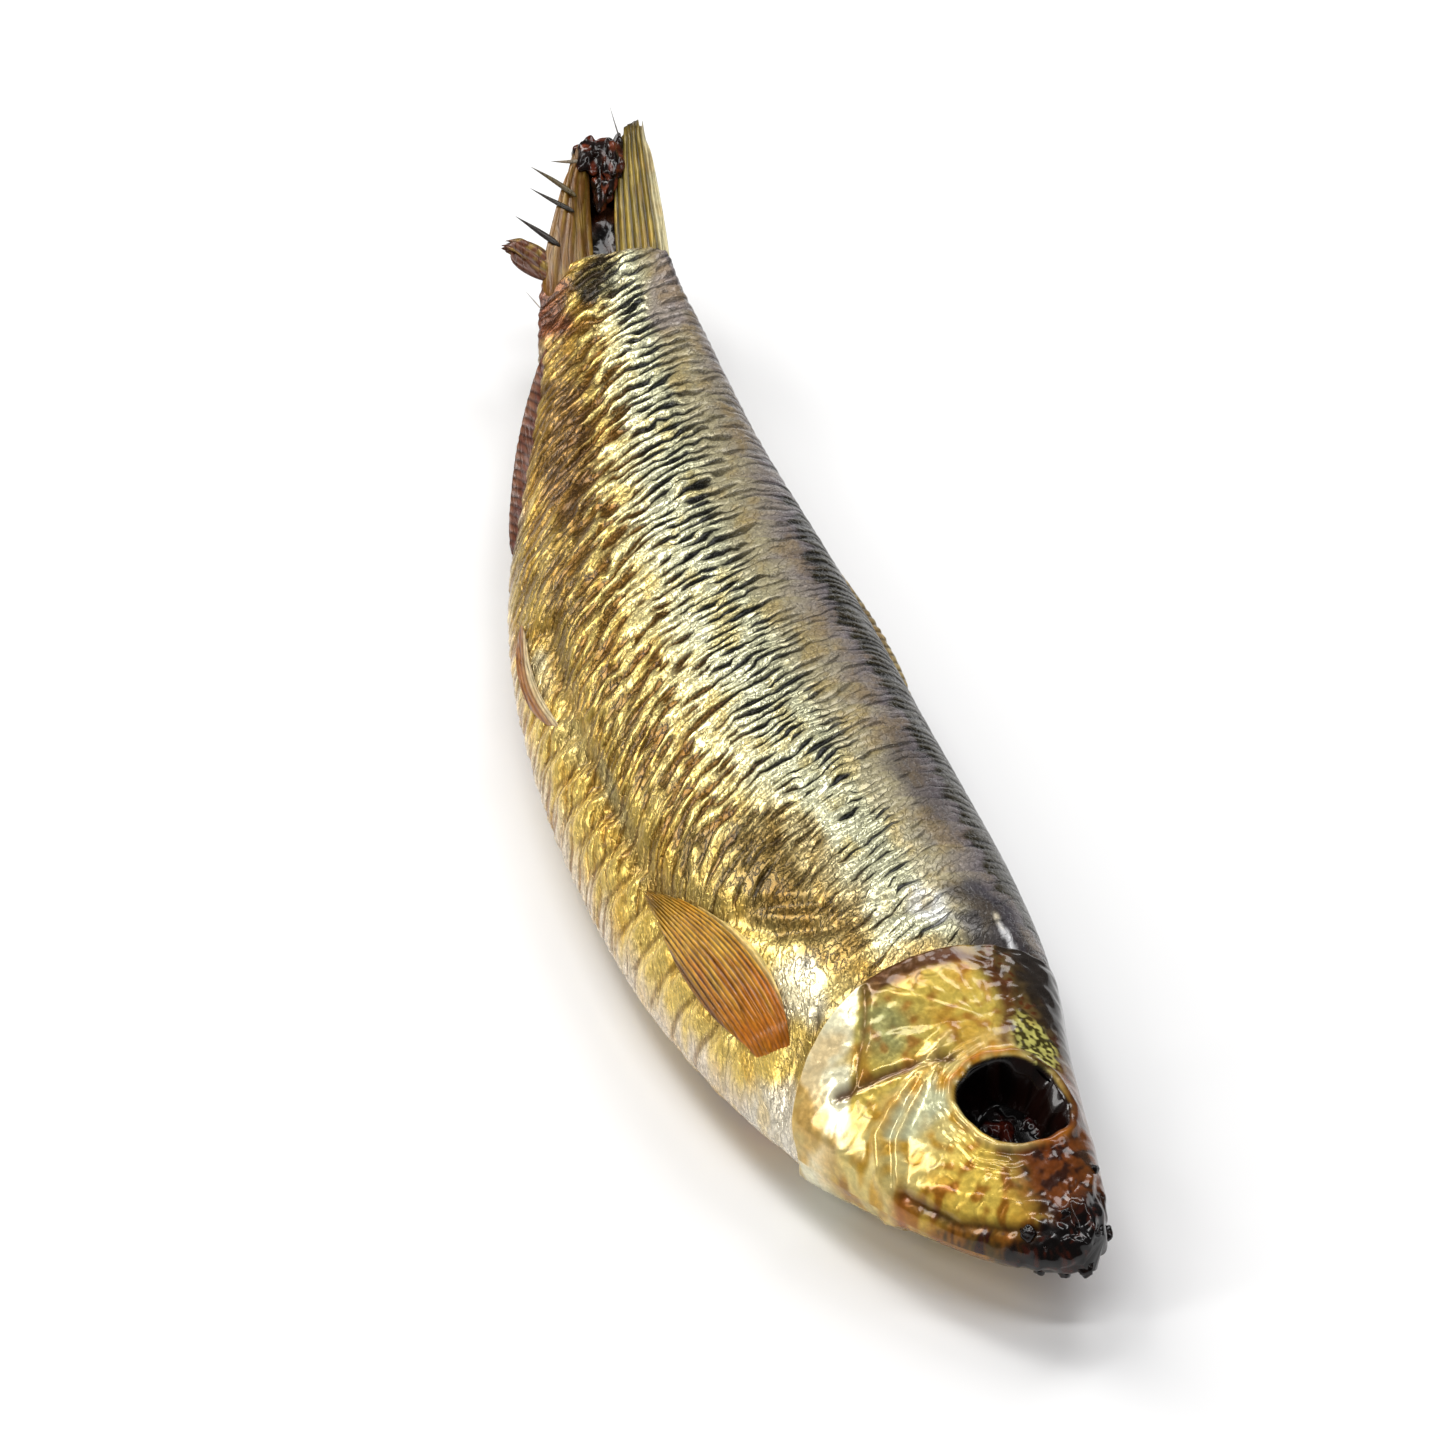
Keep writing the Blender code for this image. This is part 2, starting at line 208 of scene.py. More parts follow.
# Materials: nodes are added and linked by hand, one Principled shader in each
class Nodes:
    def __init__(self, name):
        self.material = bpy.data.materials.new(name)
        self.material.use_nodes = True
        self.tree = self.material.node_tree
        self.shader = self.tree.nodes["Principled BSDF"]

    def add(self, kind, **values):
        node = self.tree.nodes.new(kind)
        for key, value in values.items():
            if hasattr(node, key):
                setattr(node, key, value)
            else:
                node.inputs[key].default_value = value
        return node

    def link(self, a, b):
        self.tree.links.new(a, b)


# One recipe for every skin: colour, shine and thread come from the vertices, and the look gives the
# size and strength of streaks, which are lines of painted shade, fine noise, sparks, which are painted
# glints, and stains
def skinMaterial(name, look):
    kit = Nodes(name)

    def attribute(title):
        return kit.add("ShaderNodeAttribute", attribute_name=title)

    tint, grain, shine = attribute("tint"), attribute("grain"), attribute("shine")

    def stretched(scale):
        mapping = kit.add("ShaderNodeMapping", Scale=scale)
        kit.link(grain.outputs["Vector"], mapping.inputs["Vector"])
        return mapping.outputs["Vector"]

    def noiseField(scale, octaves, rough):
        field = kit.add("ShaderNodeTexNoise", Scale=1.0, Detail=octaves, Roughness=rough)
        kit.link(stretched(scale), field.inputs["Vector"])
        return field.outputs["Fac"]

    def ramp(value, low, high, bottom=0.0, top=1.0):
        node = kit.add("ShaderNodeMapRange", interpolation_type="SMOOTHSTEP")
        for item, limit in zip(node.inputs[1:5], (low, high, bottom, top)):
            item.default_value = limit
        kit.link(value, node.inputs["Value"])
        return node.outputs["Result"]

    def mixed(factor, a, b, mode="MIX"):
        node = kit.add("ShaderNodeMix", data_type="RGBA", blend_type=mode)
        for value, label in ((factor, "Factor"), (a, "A"), (b, "B")):
            item = [s for s in node.inputs if s.name == label and s.enabled][0]
            if hasattr(value, "is_output"):
                kit.link(value, item)
            elif label == "Factor":
                item.default_value = value
            else:
                item.default_value = (*value, 1.0)
        return [s for s in node.outputs if s.enabled][0]

    def sums(operation, *values):
        node = kit.add("ShaderNodeMath", operation=operation)
        for item, value in zip(node.inputs, values):
            if hasattr(value, "is_output"):
                kit.link(value, item)
            else:
                item.default_value = value
        return node.outputs["Value"]

    streak = noiseField(look["streakScale"], 1.5, 0.5)
    fine = noiseField(look["fineScale"], 3.0, 0.65)
    patch = noiseField(look["patchScale"], 3.0, 0.5)
    cells = kit.add("ShaderNodeTexVoronoi", Scale=1.0)
    kit.link(stretched(look["cellScale"]), cells.inputs["Vector"])
    glintCells = kit.add("ShaderNodeSeparateColor")
    kit.link(cells.outputs["Color"], glintCells.inputs["Color"])

    def scaled(colour, factor):
        node = kit.add("ShaderNodeVectorMath", operation="SCALE")
        kit.link(colour, node.inputs[0])
        kit.link(factor, node.inputs["Scale"])
        return node.outputs["Vector"]

    colour = tint.outputs["Color"]
    wrinkle = None
    if "jitter" in look:
        # two nets of wrinkles, one fine and one coarse, each dark where its count is whole; there the
        # valley colour lays painted shade into the valleys
        lines, zone, valleyWithShade = attribute("lines"), attribute("zone"), attribute("valleyWithShade")
        counts = kit.add("ShaderNodeSeparateXYZ")
        kit.link(lines.outputs["Vector"], counts.inputs["Vector"])
        limits = kit.add("ShaderNodeSeparateXYZ")
        kit.link(zone.outputs["Vector"], limits.inputs["Vector"])
        close = sums("PINGPONG", counts.outputs["X"], 0.5)
        wide = sums("PINGPONG", counts.outputs["Y"], 0.5)
        share = sums("SUBTRACT", close, wide)
        share = sums("MULTIPLY_ADD", share, counts.outputs["Z"], wide)
        share = sums("MULTIPLY_ADD", share, 2.0, limits.outputs["Z"])
        share = sums("MULTIPLY_ADD", streak, look["jitter"], share)
        tone = kit.add("ShaderNodeMapRange", interpolation_type="SMOOTHSTEP")
        kit.link(share, tone.inputs["Value"])
        kit.link(limits.outputs["X"], tone.inputs["From Min"])
        kit.link(limits.outputs["Y"], tone.inputs["From Max"])
        wrinkle = tone.outputs["Result"]
        colour = mixed(wrinkle, valleyWithShade.outputs["Color"], colour)
    # painted shade: the streaks are thin dark lines along the grooves of the bump
    crease = sums("ABSOLUTE", sums("SUBTRACT", streak, 0.5))
    streak = ramp(crease, 0.0, 0.07)  # thin dark lines where the noise is at its middle value
    colour = scaled(colour, ramp(streak, 0.0, 0.8, look["streakShade"], 1.0))
    colour = scaled(colour, ramp(fine, 0.4, 0.66, look["fineDark"], look["finePale"]))
    # painted glints: small cells of the skin are brightened
    colour = scaled(colour, ramp(glintCells.outputs["Red"], 0.84, 0.96, 1.0, look["glintCells"]))
    colour = mixed(ramp(patch, 0.48, 0.66, 0.0, look["warmShare"]), colour, look["warm"], "MULTIPLY")
    kit.link(colour, kit.shader.inputs["Base Color"])
    kit.link(shine.outputs["Fac"], kit.shader.inputs["Metallic"])
    kit.link(ramp(fine, 0.3, 0.7, *look["roughness"]), kit.shader.inputs["Roughness"])

    height = sums("MULTIPLY_ADD", glintCells.outputs["Green"], look.get("cellBump", 0.0), streak)
    if wrinkle:
        height = sums("MULTIPLY_ADD", wrinkle, look["wrinkleBump"], height)
    coarseBump = kit.add("ShaderNodeBump", Distance=look["bump"] * mm, Strength=1.0)
    kit.link(height, coarseBump.inputs["Height"])
    fineBump = kit.add("ShaderNodeBump", Distance=look["fineBump"] * mm)
    kit.link(fine, fineBump.inputs["Height"])
    kit.link(coarseBump.outputs["Normal"], fineBump.inputs["Normal"])
    kit.link(fineBump.outputs["Normal"], kit.shader.inputs["Normal"])
    kit.shader.inputs["Coat Weight"].default_value = look["coat"]
    kit.shader.inputs["Coat Roughness"].default_value = look["coatRoughness"]
    kit.shader.inputs["Specular IOR Level"].default_value = look["specular"]
    return kit.material


trunkLook = dict(
    jitter=0.16, wrinkleBump=2.2,
    streakScale=(1.8, 1.6, 1.2), fineScale=(4.0, 4.5, 4.0), patchScale=(0.35, 0.5, 0.3),
    cellScale=(4.0, 4.0, 3.0), streakShade=0.76, fineDark=0.84, finePale=1.1, glintCells=1.25,
    warm=paint(255, 228, 150), warmShare=0.5, roughness=(0.18, 0.32), bump=0.035, fineBump=0.02,
    cellBump=0.15, coat=0.1, coatRoughness=0.12, specular=0.3,
)
headLook = dict(
    streakScale=(0.6, 0.6, 0.5), fineScale=(3.0, 3.0, 3.0),
    patchScale=(0.35, 0.35, 0.35), cellScale=(2.4, 2.4, 2.4), streakShade=0.86, fineDark=0.88,
    finePale=1.08, glintCells=1.12, warm=paint(255, 200, 110), warmShare=0.4, roughness=(0.15, 0.27),
    bump=0.008, fineBump=0.002, coat=0.38, coatRoughness=0.04, specular=0.22,
)
finLook = dict(
    streakScale=(0.15, 2.0, 0.5), fineScale=(1.5, 5.0, 2.0),
    patchScale=(0.4, 0.6, 0.4), cellScale=(2.0, 5.0, 3.0), streakShade=0.75, fineDark=0.82,
    finePale=1.12, glintCells=1.15, warm=paint(255, 206, 110), warmShare=0.3, roughness=(0.26, 0.42),
    bump=0.03, fineBump=0.015, coat=0.15, coatRoughness=0.12, specular=0.28,
)
crustLook = dict(
    streakScale=(0.9, 0.9, 0.9), fineScale=(2.0, 2.0, 2.0),
    patchScale=(0.8, 0.8, 0.8), cellScale=(2.0, 2.0, 2.0), streakShade=0.6, fineDark=0.6,
    finePale=1.3, glintCells=1.0, warm=paint(255, 150, 90), warmShare=0.5, roughness=(0.16, 0.3),
    bump=0.012, fineBump=0.006, coat=0.35, coatRoughness=0.03, specular=0.15,
)
wetLook = dict(
    streakScale=(0.7, 0.7, 0.7), fineScale=(2.0, 2.0, 2.0),
    patchScale=(0.6, 0.6, 0.6), cellScale=(1.5, 1.5, 1.5), streakShade=0.5, fineDark=0.6,
    finePale=1.3, glintCells=1.0, warm=paint(255, 120, 70), warmShare=0.6, roughness=(0.1, 0.2),
    bump=0.0, fineBump=0.002, coat=0.16, coatRoughness=0.02, specular=0.1,
)
materials = {
    "trunk": skinMaterial("wrinkledSkin", trunkLook),
    "head": skinMaterial("headSkin", headLook),
    "fin": skinMaterial("driedFin", finLook),
    "crust": skinMaterial("burntCrust", crustLook),
    "wet": skinMaterial("wetHollow", wetLook),
}
print("materials made")


skinLayers = (
    ("tint", "float_color"), ("grain", "float_vector"), ("shine", "float"),
    ("valleyWithShade", "float_color"), ("lines", "float_vector"), ("zone", "float_vector"),
)


# Every piece is one or more balls of rings and spokes. form(share, turn) gives the place on the
# fish, the colour, the shine and the thread that the material's grain follows. The trunk's form
# also gives the colour of the valleys, with painted shade, the counts of both nets and the limits of
# the pucker.
def growBall(bm, rings, spokes, form):
    rings, spokes = max(6, int(rings * detail)), max(6, int(spokes * detail))
    made = bmesh.ops.create_uvsphere(bm, u_segments=spokes, v_segments=rings, radius=1.0)["verts"]
    layers = bm.verts.layers
    tint, grain, shine, valleyWithShade, lines, zone = [getattr(layers, b)[a] for a, b in skinLayers]
    for vert in made:
        x, y, z = vert.co
        share = atan2(hypot(x, y), z) / pi
        spot, colour, metal, thread, *more = form(share, atan2(y, x))
        vert.co = place(*spot)
        vert[tint] = (*colour, 1.0)
        vert[shine] = metal
        vert[grain] = thread
        if more:
            vert[valleyWithShade] = (*more[0], 1.0)
            vert[lines] = more[1]
            vert[zone] = more[2]


# A piece from its balls, each given by its rings, spokes and form
def makePiece(name, kind, *balls):
    bm = bmesh.new()
    for layer, form in skinLayers:
        getattr(bm.verts.layers, form).new(layer)
    for ball in balls:
        growBall(bm, *ball)
    if bm.calc_volume(signed=True) < 0.0:
        bmesh.ops.reverse_faces(bm, faces=bm.faces)
    mesh = bpy.data.meshes.new(name)
    bm.to_mesh(mesh)
    bm.free()
    mesh.shade_smooth()
    mesh.materials.append(materials[kind])
    piece = bpy.data.objects.new(name, mesh)
    bpy.context.scene.collection.objects.link(piece)
    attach(piece, "root")
    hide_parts("sprat")


# Trunk: from under the gill cover back to the root of the tail
trunk = dict(
    rings=760, spokes=128, front=14.5, frontRound=2.5, sink=0.8, sinkSpan=(-3.0, -0.8), lean=0.3,
    length=93.8, endRound=1.6, endSlim=0.6, endBelly=1.1, endBack=0.6, endLevel=-1.4,
    closePitch=0.72, widePitch=1.5, tailPitch=0.8, tailPitchFrom=55.0, wrinkleDepth=0.26,
    toothPitch=2.3, ribStart=21.5, ribPitch=2.5, ribDepth=0.19, dentDepth=0.16,
    coverEdge=20.8, coverBow=0.035, coverFold=(0.9, 0.35, 0.9), patchReach=1.6,
)

# folds of the skin: depth, width, and the line that each follows
trunkFolds = (
    (0.4, 0.7, ((30.0, -7.6), (37.4, -8.6), (50.1, -9.2), (60.0, -8.8))),
    (0.26, 0.5, ((36.3, -9.0), (33.5, -8.2), (31.0, -7.0), (29.4, -5.5), (27.3, -4.0),
                 (26.0, -1.6), (25.4, 1.2), (25.0, 4.5))),
    (0.2, 0.4, ((31.0, -7.0), (29.6, -4.2), (28.0, -1.5), (27.2, 0.8), (26.6, 2.6))),
)

# where the pale back band begins, for a place along the body
bandEdge = (
    (18.0, 5.6), (27.0, 4.6), (40.0, 4.4), (51.0, 3.7), (60.0, 3.0), (75.0, 1.8), (84.0, 0.7),
    (92.0, -0.3),
)

# share of the way from the band's edge to the keel: valley colour, partly the skin's own and partly
# painted shade, crest colour, partly painted highlight, shine, the pucker where valley turns into
# crest (low and high), and how fine the wrinkles are
flankStops = (
    (-0.42, paint(10, 9, 4), paint(40, 36, 14), 0.1, 0.1, 0.7, 1.0),
    (-0.305, paint(10, 9, 4), paint(46, 40, 18), 0.1, 0.1, 0.7, 1.0),
    (-0.290, paint(64, 58, 64), paint(116, 108, 112), 0.05, 0.0, 0.4, 1.0),
    (-0.21, paint(92, 84, 76), paint(140, 130, 120), 0.05, 0.0, 0.4, 0.8),
    (-0.10, paint(100, 92, 68), paint(162, 152, 120), 0.1, 0.0, 0.45, 0.8),
    (-0.03, paint(48, 44, 26), paint(176, 168, 134), 0.3, 0.12, 0.5, 1.0),
    (0.02, paint(8, 8, 3), paint(190, 188, 154), 0.5, 0.24, 0.56, 1.0),
    (0.17, paint(9, 9, 3), paint(236, 234, 196), 0.65, 0.2, 0.52, 1.0),
    (0.25, paint(26, 20, 6), paint(250, 246, 204), 0.68, 0.16, 0.52, 0.9),
    (0.38, paint(92, 64, 14), paint(250, 236, 174), 0.68, 0.16, 0.62, 0.6),
    (0.50, paint(108, 76, 18), paint(240, 218, 140), 0.66, 0.34, 0.84, 0.35),
    (0.62, paint(116, 84, 22), paint(228, 200, 112), 0.62, 0.44, 0.96, 0.25),
    (0.74, paint(134, 102, 32), paint(206, 176, 88), 0.55, 0.2, 0.9, 0.5),
    (0.80, paint(160, 122, 44), paint(236, 206, 118), 0.5, 0.1, 0.8, 0.6),
    (0.86, paint(170, 128, 38), paint(240, 206, 104), 0.5, 0.1, 0.8, 0.6),
    (0.95, paint(176, 136, 50), paint(240, 208, 118), 0.45, 0.1, 0.8, 0.6),
    (1.00, paint(168, 138, 106), paint(230, 214, 190), 0.3, 0.1, 0.7, 0.6),
)

# along, across, reach along, reach across, colour, strength
trunkPatches = (
    (29.5, -1.4, 9.0, 3.4, paint(150, 122, 58), 0.85),
    (31.0, -2.8, 6.4, 2.4, paint(98, 76, 28), 1.0),
    (25.6, -1.6, 3.2, 2.6, paint(122, 98, 46), 0.75),
    (34.5, -5.6, 5.0, 1.8, paint(152, 128, 70), 0.7),
    (46.0, -6.2, 9.0, 1.4, paint(146, 120, 62), 0.5),
    (64.0, -8.8, 10.0, 1.8, paint(132, 104, 44), 0.7),
    (23.0, -4.8, 2.6, 1.9, paint(232, 228, 204), 0.7),
    (18.4, -9.4, 2.6, 1.8, paint(236, 232, 220), 0.8),
    # painted highlight: a near-white flash of light on the upper flank
    (25.0, 4.4, 1.9, 1.2, paint(255, 254, 248), 0.9),
    (22.5, 7.4, 5.0, 2.2, paint(52, 50, 62), 0.95),
    (22.0, 7.8, 2.2, 0.22, paint(250, 250, 252), 1.0),
    (36.0, 8.0, 5.0, 1.6, paint(70, 64, 70), 0.6),
    (65.0, -6.6, 9.0, 1.8, paint(140, 104, 36), 0.5),
    (76.0, -5.8, 9.0, 2.4, paint(118, 78, 22), 0.95),
    (86.0, -5.6, 5.0, 1.1, paint(128, 88, 30), 0.6),
    (90.4, -5.6, 4.2, 1.9, paint(104, 38, 10), 1.0),
    (91.2, -2.6, 3.0, 1.7, paint(30, 28, 10), 1.0),
    (88.0, 1.6, 5.0, 1.4, paint(150, 138, 138), 0.7),
    (93.6, -2.0, 0.4, 5.0, paint(206, 192, 164), 0.8),
    (21.8, 1.2, 1.2, 3.4, paint(214, 176, 84), 0.6),
    (57.0, -10.2, 3.4, 0.9, paint(232, 222, 182), 0.75),
    (50.0, -9.6, 3.0, 0.9, paint(222, 200, 128), 0.6),
    (44.0, -8.6, 5.0, 0.5, paint(150, 146, 112), 0.5),
)


# up from 0 to 1 and down again for each step of x
def zigzag(x):
    return 1.0 - abs(2.0 * (x % 1.0) - 1.0)


def trunkForm(share, turn):
    base = trunk["front"] + (trunk["length"] - trunk["front"]) * share
    turn += trunk["lean"] * cos(turn)
    across, out, toBack, toSide = section(base, turn)
    window = smoothStep(base, 15.0, 30.0) * fadeOut(base, 80.0, 95.0)
    along = min(trunk["length"], base + flow(max(across, -8.0)) * window)
    across, out, toBack, toSide = section(along, turn)
    belly = spineRow(along)[4]
    side = 1.0 if out > 0.0 else -1.0

    # wrinkles
    thread = along - flow(across)
    edge = stops(bandEdge, along)[0]
    fromEdge = (edge - across) / (edge + belly)
    if fromEdge < 0.0:
        fromEdge *= mix(1.0, 0.56, smoothStep(along, 55.0, 78.0))
    wander = 0.04 * wave(thread * 0.9, across * 0.5, side)
    if fromEdge < -0.1:
        tooth = (along / trunk["toothPitch"] + 0.4 * wave(along * 0.5, 7.0)) % 1.0
        wander += 0.05 * tooth - 0.025
    valleyWithShade, crestWithHighlight, metal, low, high, fineness = stops(flankStops, fromEdge + wander)
    nearTail = trunk["tailPitchFrom"]
    run = min(thread, nearTail) + trunk["tailPitch"] * max(0.0, thread - nearTail)
    sway = 0.9 * wave(thread * 0.28, across * 0.34, side * 5.0)
    jag = 0.34 * wave(thread * 0.7, across * 1.5, side * 6.0)
    close = run / trunk["closePitch"] + sway + jag + 0.3 * wave(thread * 0.9, across * 0.6, side * 7.0)
    wide = run / trunk["widePitch"] + sway + jag + 0.3 * wave(thread * 0.5, across * 0.5, side * 3.0)
    calm = fadeOut(along, 28.0, 38.0) * smoothStep(fromEdge, 0.25, 0.5)
    gap = 0.75 * wave(thread * 1.1, across * 0.7, side * 4.0) + 0.7 * calm
    gap -= 0.1 * smoothStep(along, 56.0, 68.0)
    gap += 0.26 * fadeOut(along, 33.0, 42.0) * smoothStep(-fromEdge, -0.35, -0.15)
    pucker = mix(zigzag(wide), zigzag(close), fineness) + gap
    strength = mix(0.25, 1.0, smoothStep(fromEdge, -0.05, 0.06))
    strength *= mix(1.0, 0.5, smoothStep(fromEdge, 0.62, 0.82))
    strength *= mix(0.55, 1.0, smoothStep(along, 24.0, 38.0))
    strength *= mix(1.0, 1.3, smoothStep(along, 60.0, 80.0))
    height = trunk["wrinkleDepth"] * strength * (min(1.0, max(0.0, pucker)) - 0.6)

    # folds, ribs, dents
    face = smoothStep(abs(sin(turn)), 0.1, 0.5)
    rear = along - trunk["coverEdge"] + trunk["coverBow"] * (across - 1.0) ** 2
    behind, depth, width = trunk["coverFold"]
    folds = depth * ridge(rear - behind, width)
    for depth, width, line in trunkFolds:
        folds += depth * ridge(lineDistance(along, across, line), width)
    ribWindow = smoothStep(along, 21.5, 24.5) * fadeOut(along, 50.0, 54.0)
    ribWindow *= smoothStep(-across, 7.8, 9.2) * fadeOut(-across, 11.2, 12.1)
    ribAt = along - trunk["ribStart"] + 0.25 * wave(across, along * 0.2)
    ribs = ribWindow * cos(2.0 * pi * ribAt / trunk["ribPitch"])
    dents = trunk["dentDepth"] * wave(along * 0.13, across * 0.2, side * 4.0)
    height += (dents + trunk["ribDepth"] * ribs - folds) * face

    # colour of the crests, paled as painted highlight, and, darker, of the valleys, as painted shade
    def tintBoth(colour, amount, shade=0.5):
        shadedCopy = tuple(shade * c for c in colour)
        return blend(crestWithHighlight, colour, amount), blend(valleyWithShade, shadedCopy, amount)

    # painted shade: browner in the grooves between the ribs
    if ribs:
        crestWithHighlight, valleyWithShade = tintBoth(paint(128, 88, 26), 0.6 * ribWindow * smoothStep(-ribs, 0.72, 1.0))
    # painted shade: browner in the grooves of the folds
    crestWithHighlight, valleyWithShade = tintBoth(paint(110, 78, 28), min(0.7, 1.3 * folds * face))
    for pAlong, pAcross, reachAlong, reachAcross, tinted, amount in trunkPatches:
        far = hypot((along - pAlong) / reachAlong, (across - pAcross) / reachAcross)
        if far < trunk["patchReach"]:
            far += 0.36 * wave(along * 0.6, across * 0.8, side * 7.0)
            crestWithHighlight, valleyWithShade = tintBoth(tinted, amount * fadeOut(far, 0.55, 1.15) * 0.9, 0.4)

    # the front is tucked under the gill cover and both ends are closed
    height -= trunk["sink"] * fadeOut(rear, *trunk["sinkSpan"])
    toFront = max(0.0, (trunk["front"] + trunk["frontRound"] - base) / trunk["frontRound"])
    toEnd = max(0.0, (base - trunk["length"] + trunk["endRound"]) / trunk["endRound"])
    shrink = sqrt(max(0.0, 1.0 - toFront ** 2))
    shrink *= sqrt(max(0.0, 1.0 - toEnd ** 2))
    level = trunk["endLevel"] * smoothStep(along, 86.0, 94.0)
    slim = mix(1.0, trunk["endSlim"], smoothStep(base, 82.0, 93.0))
    across -= trunk["endBelly"] * smoothStep(along, 82.0, 92.0) * max(0.0, -toBack)
    across -= trunk["endBack"] * smoothStep(along, 84.0, 93.5) * max(0.0, toBack)
    spot = (along, level + (across + height * toBack - level) * shrink ** 0.35,
            (out * slim + height * toSide) * shrink)
    counts = (close, wide, fineness)
    return spot, crestWithHighlight, metal, (thread, across, out), valleyWithShade, counts, (low, high, gap)


makePiece("trunkSkin", "trunk", (trunk["rings"], trunk["spokes"], trunkForm))
print("trunk made")


# Head: snout, jaws, eye hollows and gill covers
head = dict(
    rings=330, spokes=280, gillEdge=20.8, gillBow=0.035, gillLength=9.0, gillRise=0.55,
    lip=0.45, capStart=0.93, eye=(9.8, 1.35), eyeReach=(2.95, 2.95), eyeDepth=2.9, eyeFlat=0.12,
    eyeSquare=2.3, eyeWall=(0.74, 1.03),
    mouth=((0.4, 0.0), (4.2, -3.6), (6.4, -5.2), (9.9, -6.4)),
    upperJaw=((1.2, 1.2), (4.6, -2.1), (7.2, -4.2), (9.4, -5.5)),
    cheekRidge=((15.2, 0.8), (14.4, -1.2), (13.7, -3.4), (12.9, -5.6), (11.0, -6.9), (8.8, -7.2)),
    innerRidge=((13.9, -0.8), (12.9, -3.2), (12.0, -5.0), (10.4, -6.2)),
    shadedCrease=((15.9, -6.0), (15.4, -4.4), (14.9, -2.7), (14.4, -1.3), (14.0, 0.1)),
    plateBorder=((20.2, -1.7), (19.0, -2.3), (17.7, -3.2), (16.0, -4.8), (15.6, -5.6)),
    topLine=((20.3, 2.5), (19.8, 4.1), (18.7, 5.1), (17.0, 5.2), (15.2, 4.6), (13.6, 3.4)),
    slant=0.5, slantReach=7.0, jawTip=0.8, charReach=4.4, charHeight=0.26,
)

# lines of relief: name, height and width; then the coloured lines: the ridges in their own colour, the
# plate border and the mouth darkened as painted shade in their grooves
headRelief = (
    ("cheekRidge", 0.32, 0.45), ("innerRidge", 0.2, 0.3), ("shadedCrease", -0.2, 0.3),
    ("plateBorder", -0.12, 0.18), ("mouth", -0.13, 0.3), ("upperJaw", 0.1, 0.5),
)
headLines = (
    # painted shade: dark line in the plate border's groove
    ("plateBorder", paint(120, 84, 40), 0.7, 0.16),
    ("cheekRidge", paint(238, 212, 130), 0.6, 0.3),
    ("innerRidge", paint(232, 206, 128), 0.5, 0.22),
    # painted shade: dark line in the mouth's groove
    ("mouth", paint(58, 28, 12), 0.9, 0.34),
)


def gillLine(across):
    return head["gillEdge"] - head["gillBow"] * (across - head["eye"][1]) ** 2


# The upper jaw slants back from the tip of the lower one
def jawSlant(along, across):
    reach = fadeOut(along, 0.0, head["slantReach"])
    return head["slant"] * max(0.0, across + head["jawTip"]) * reach


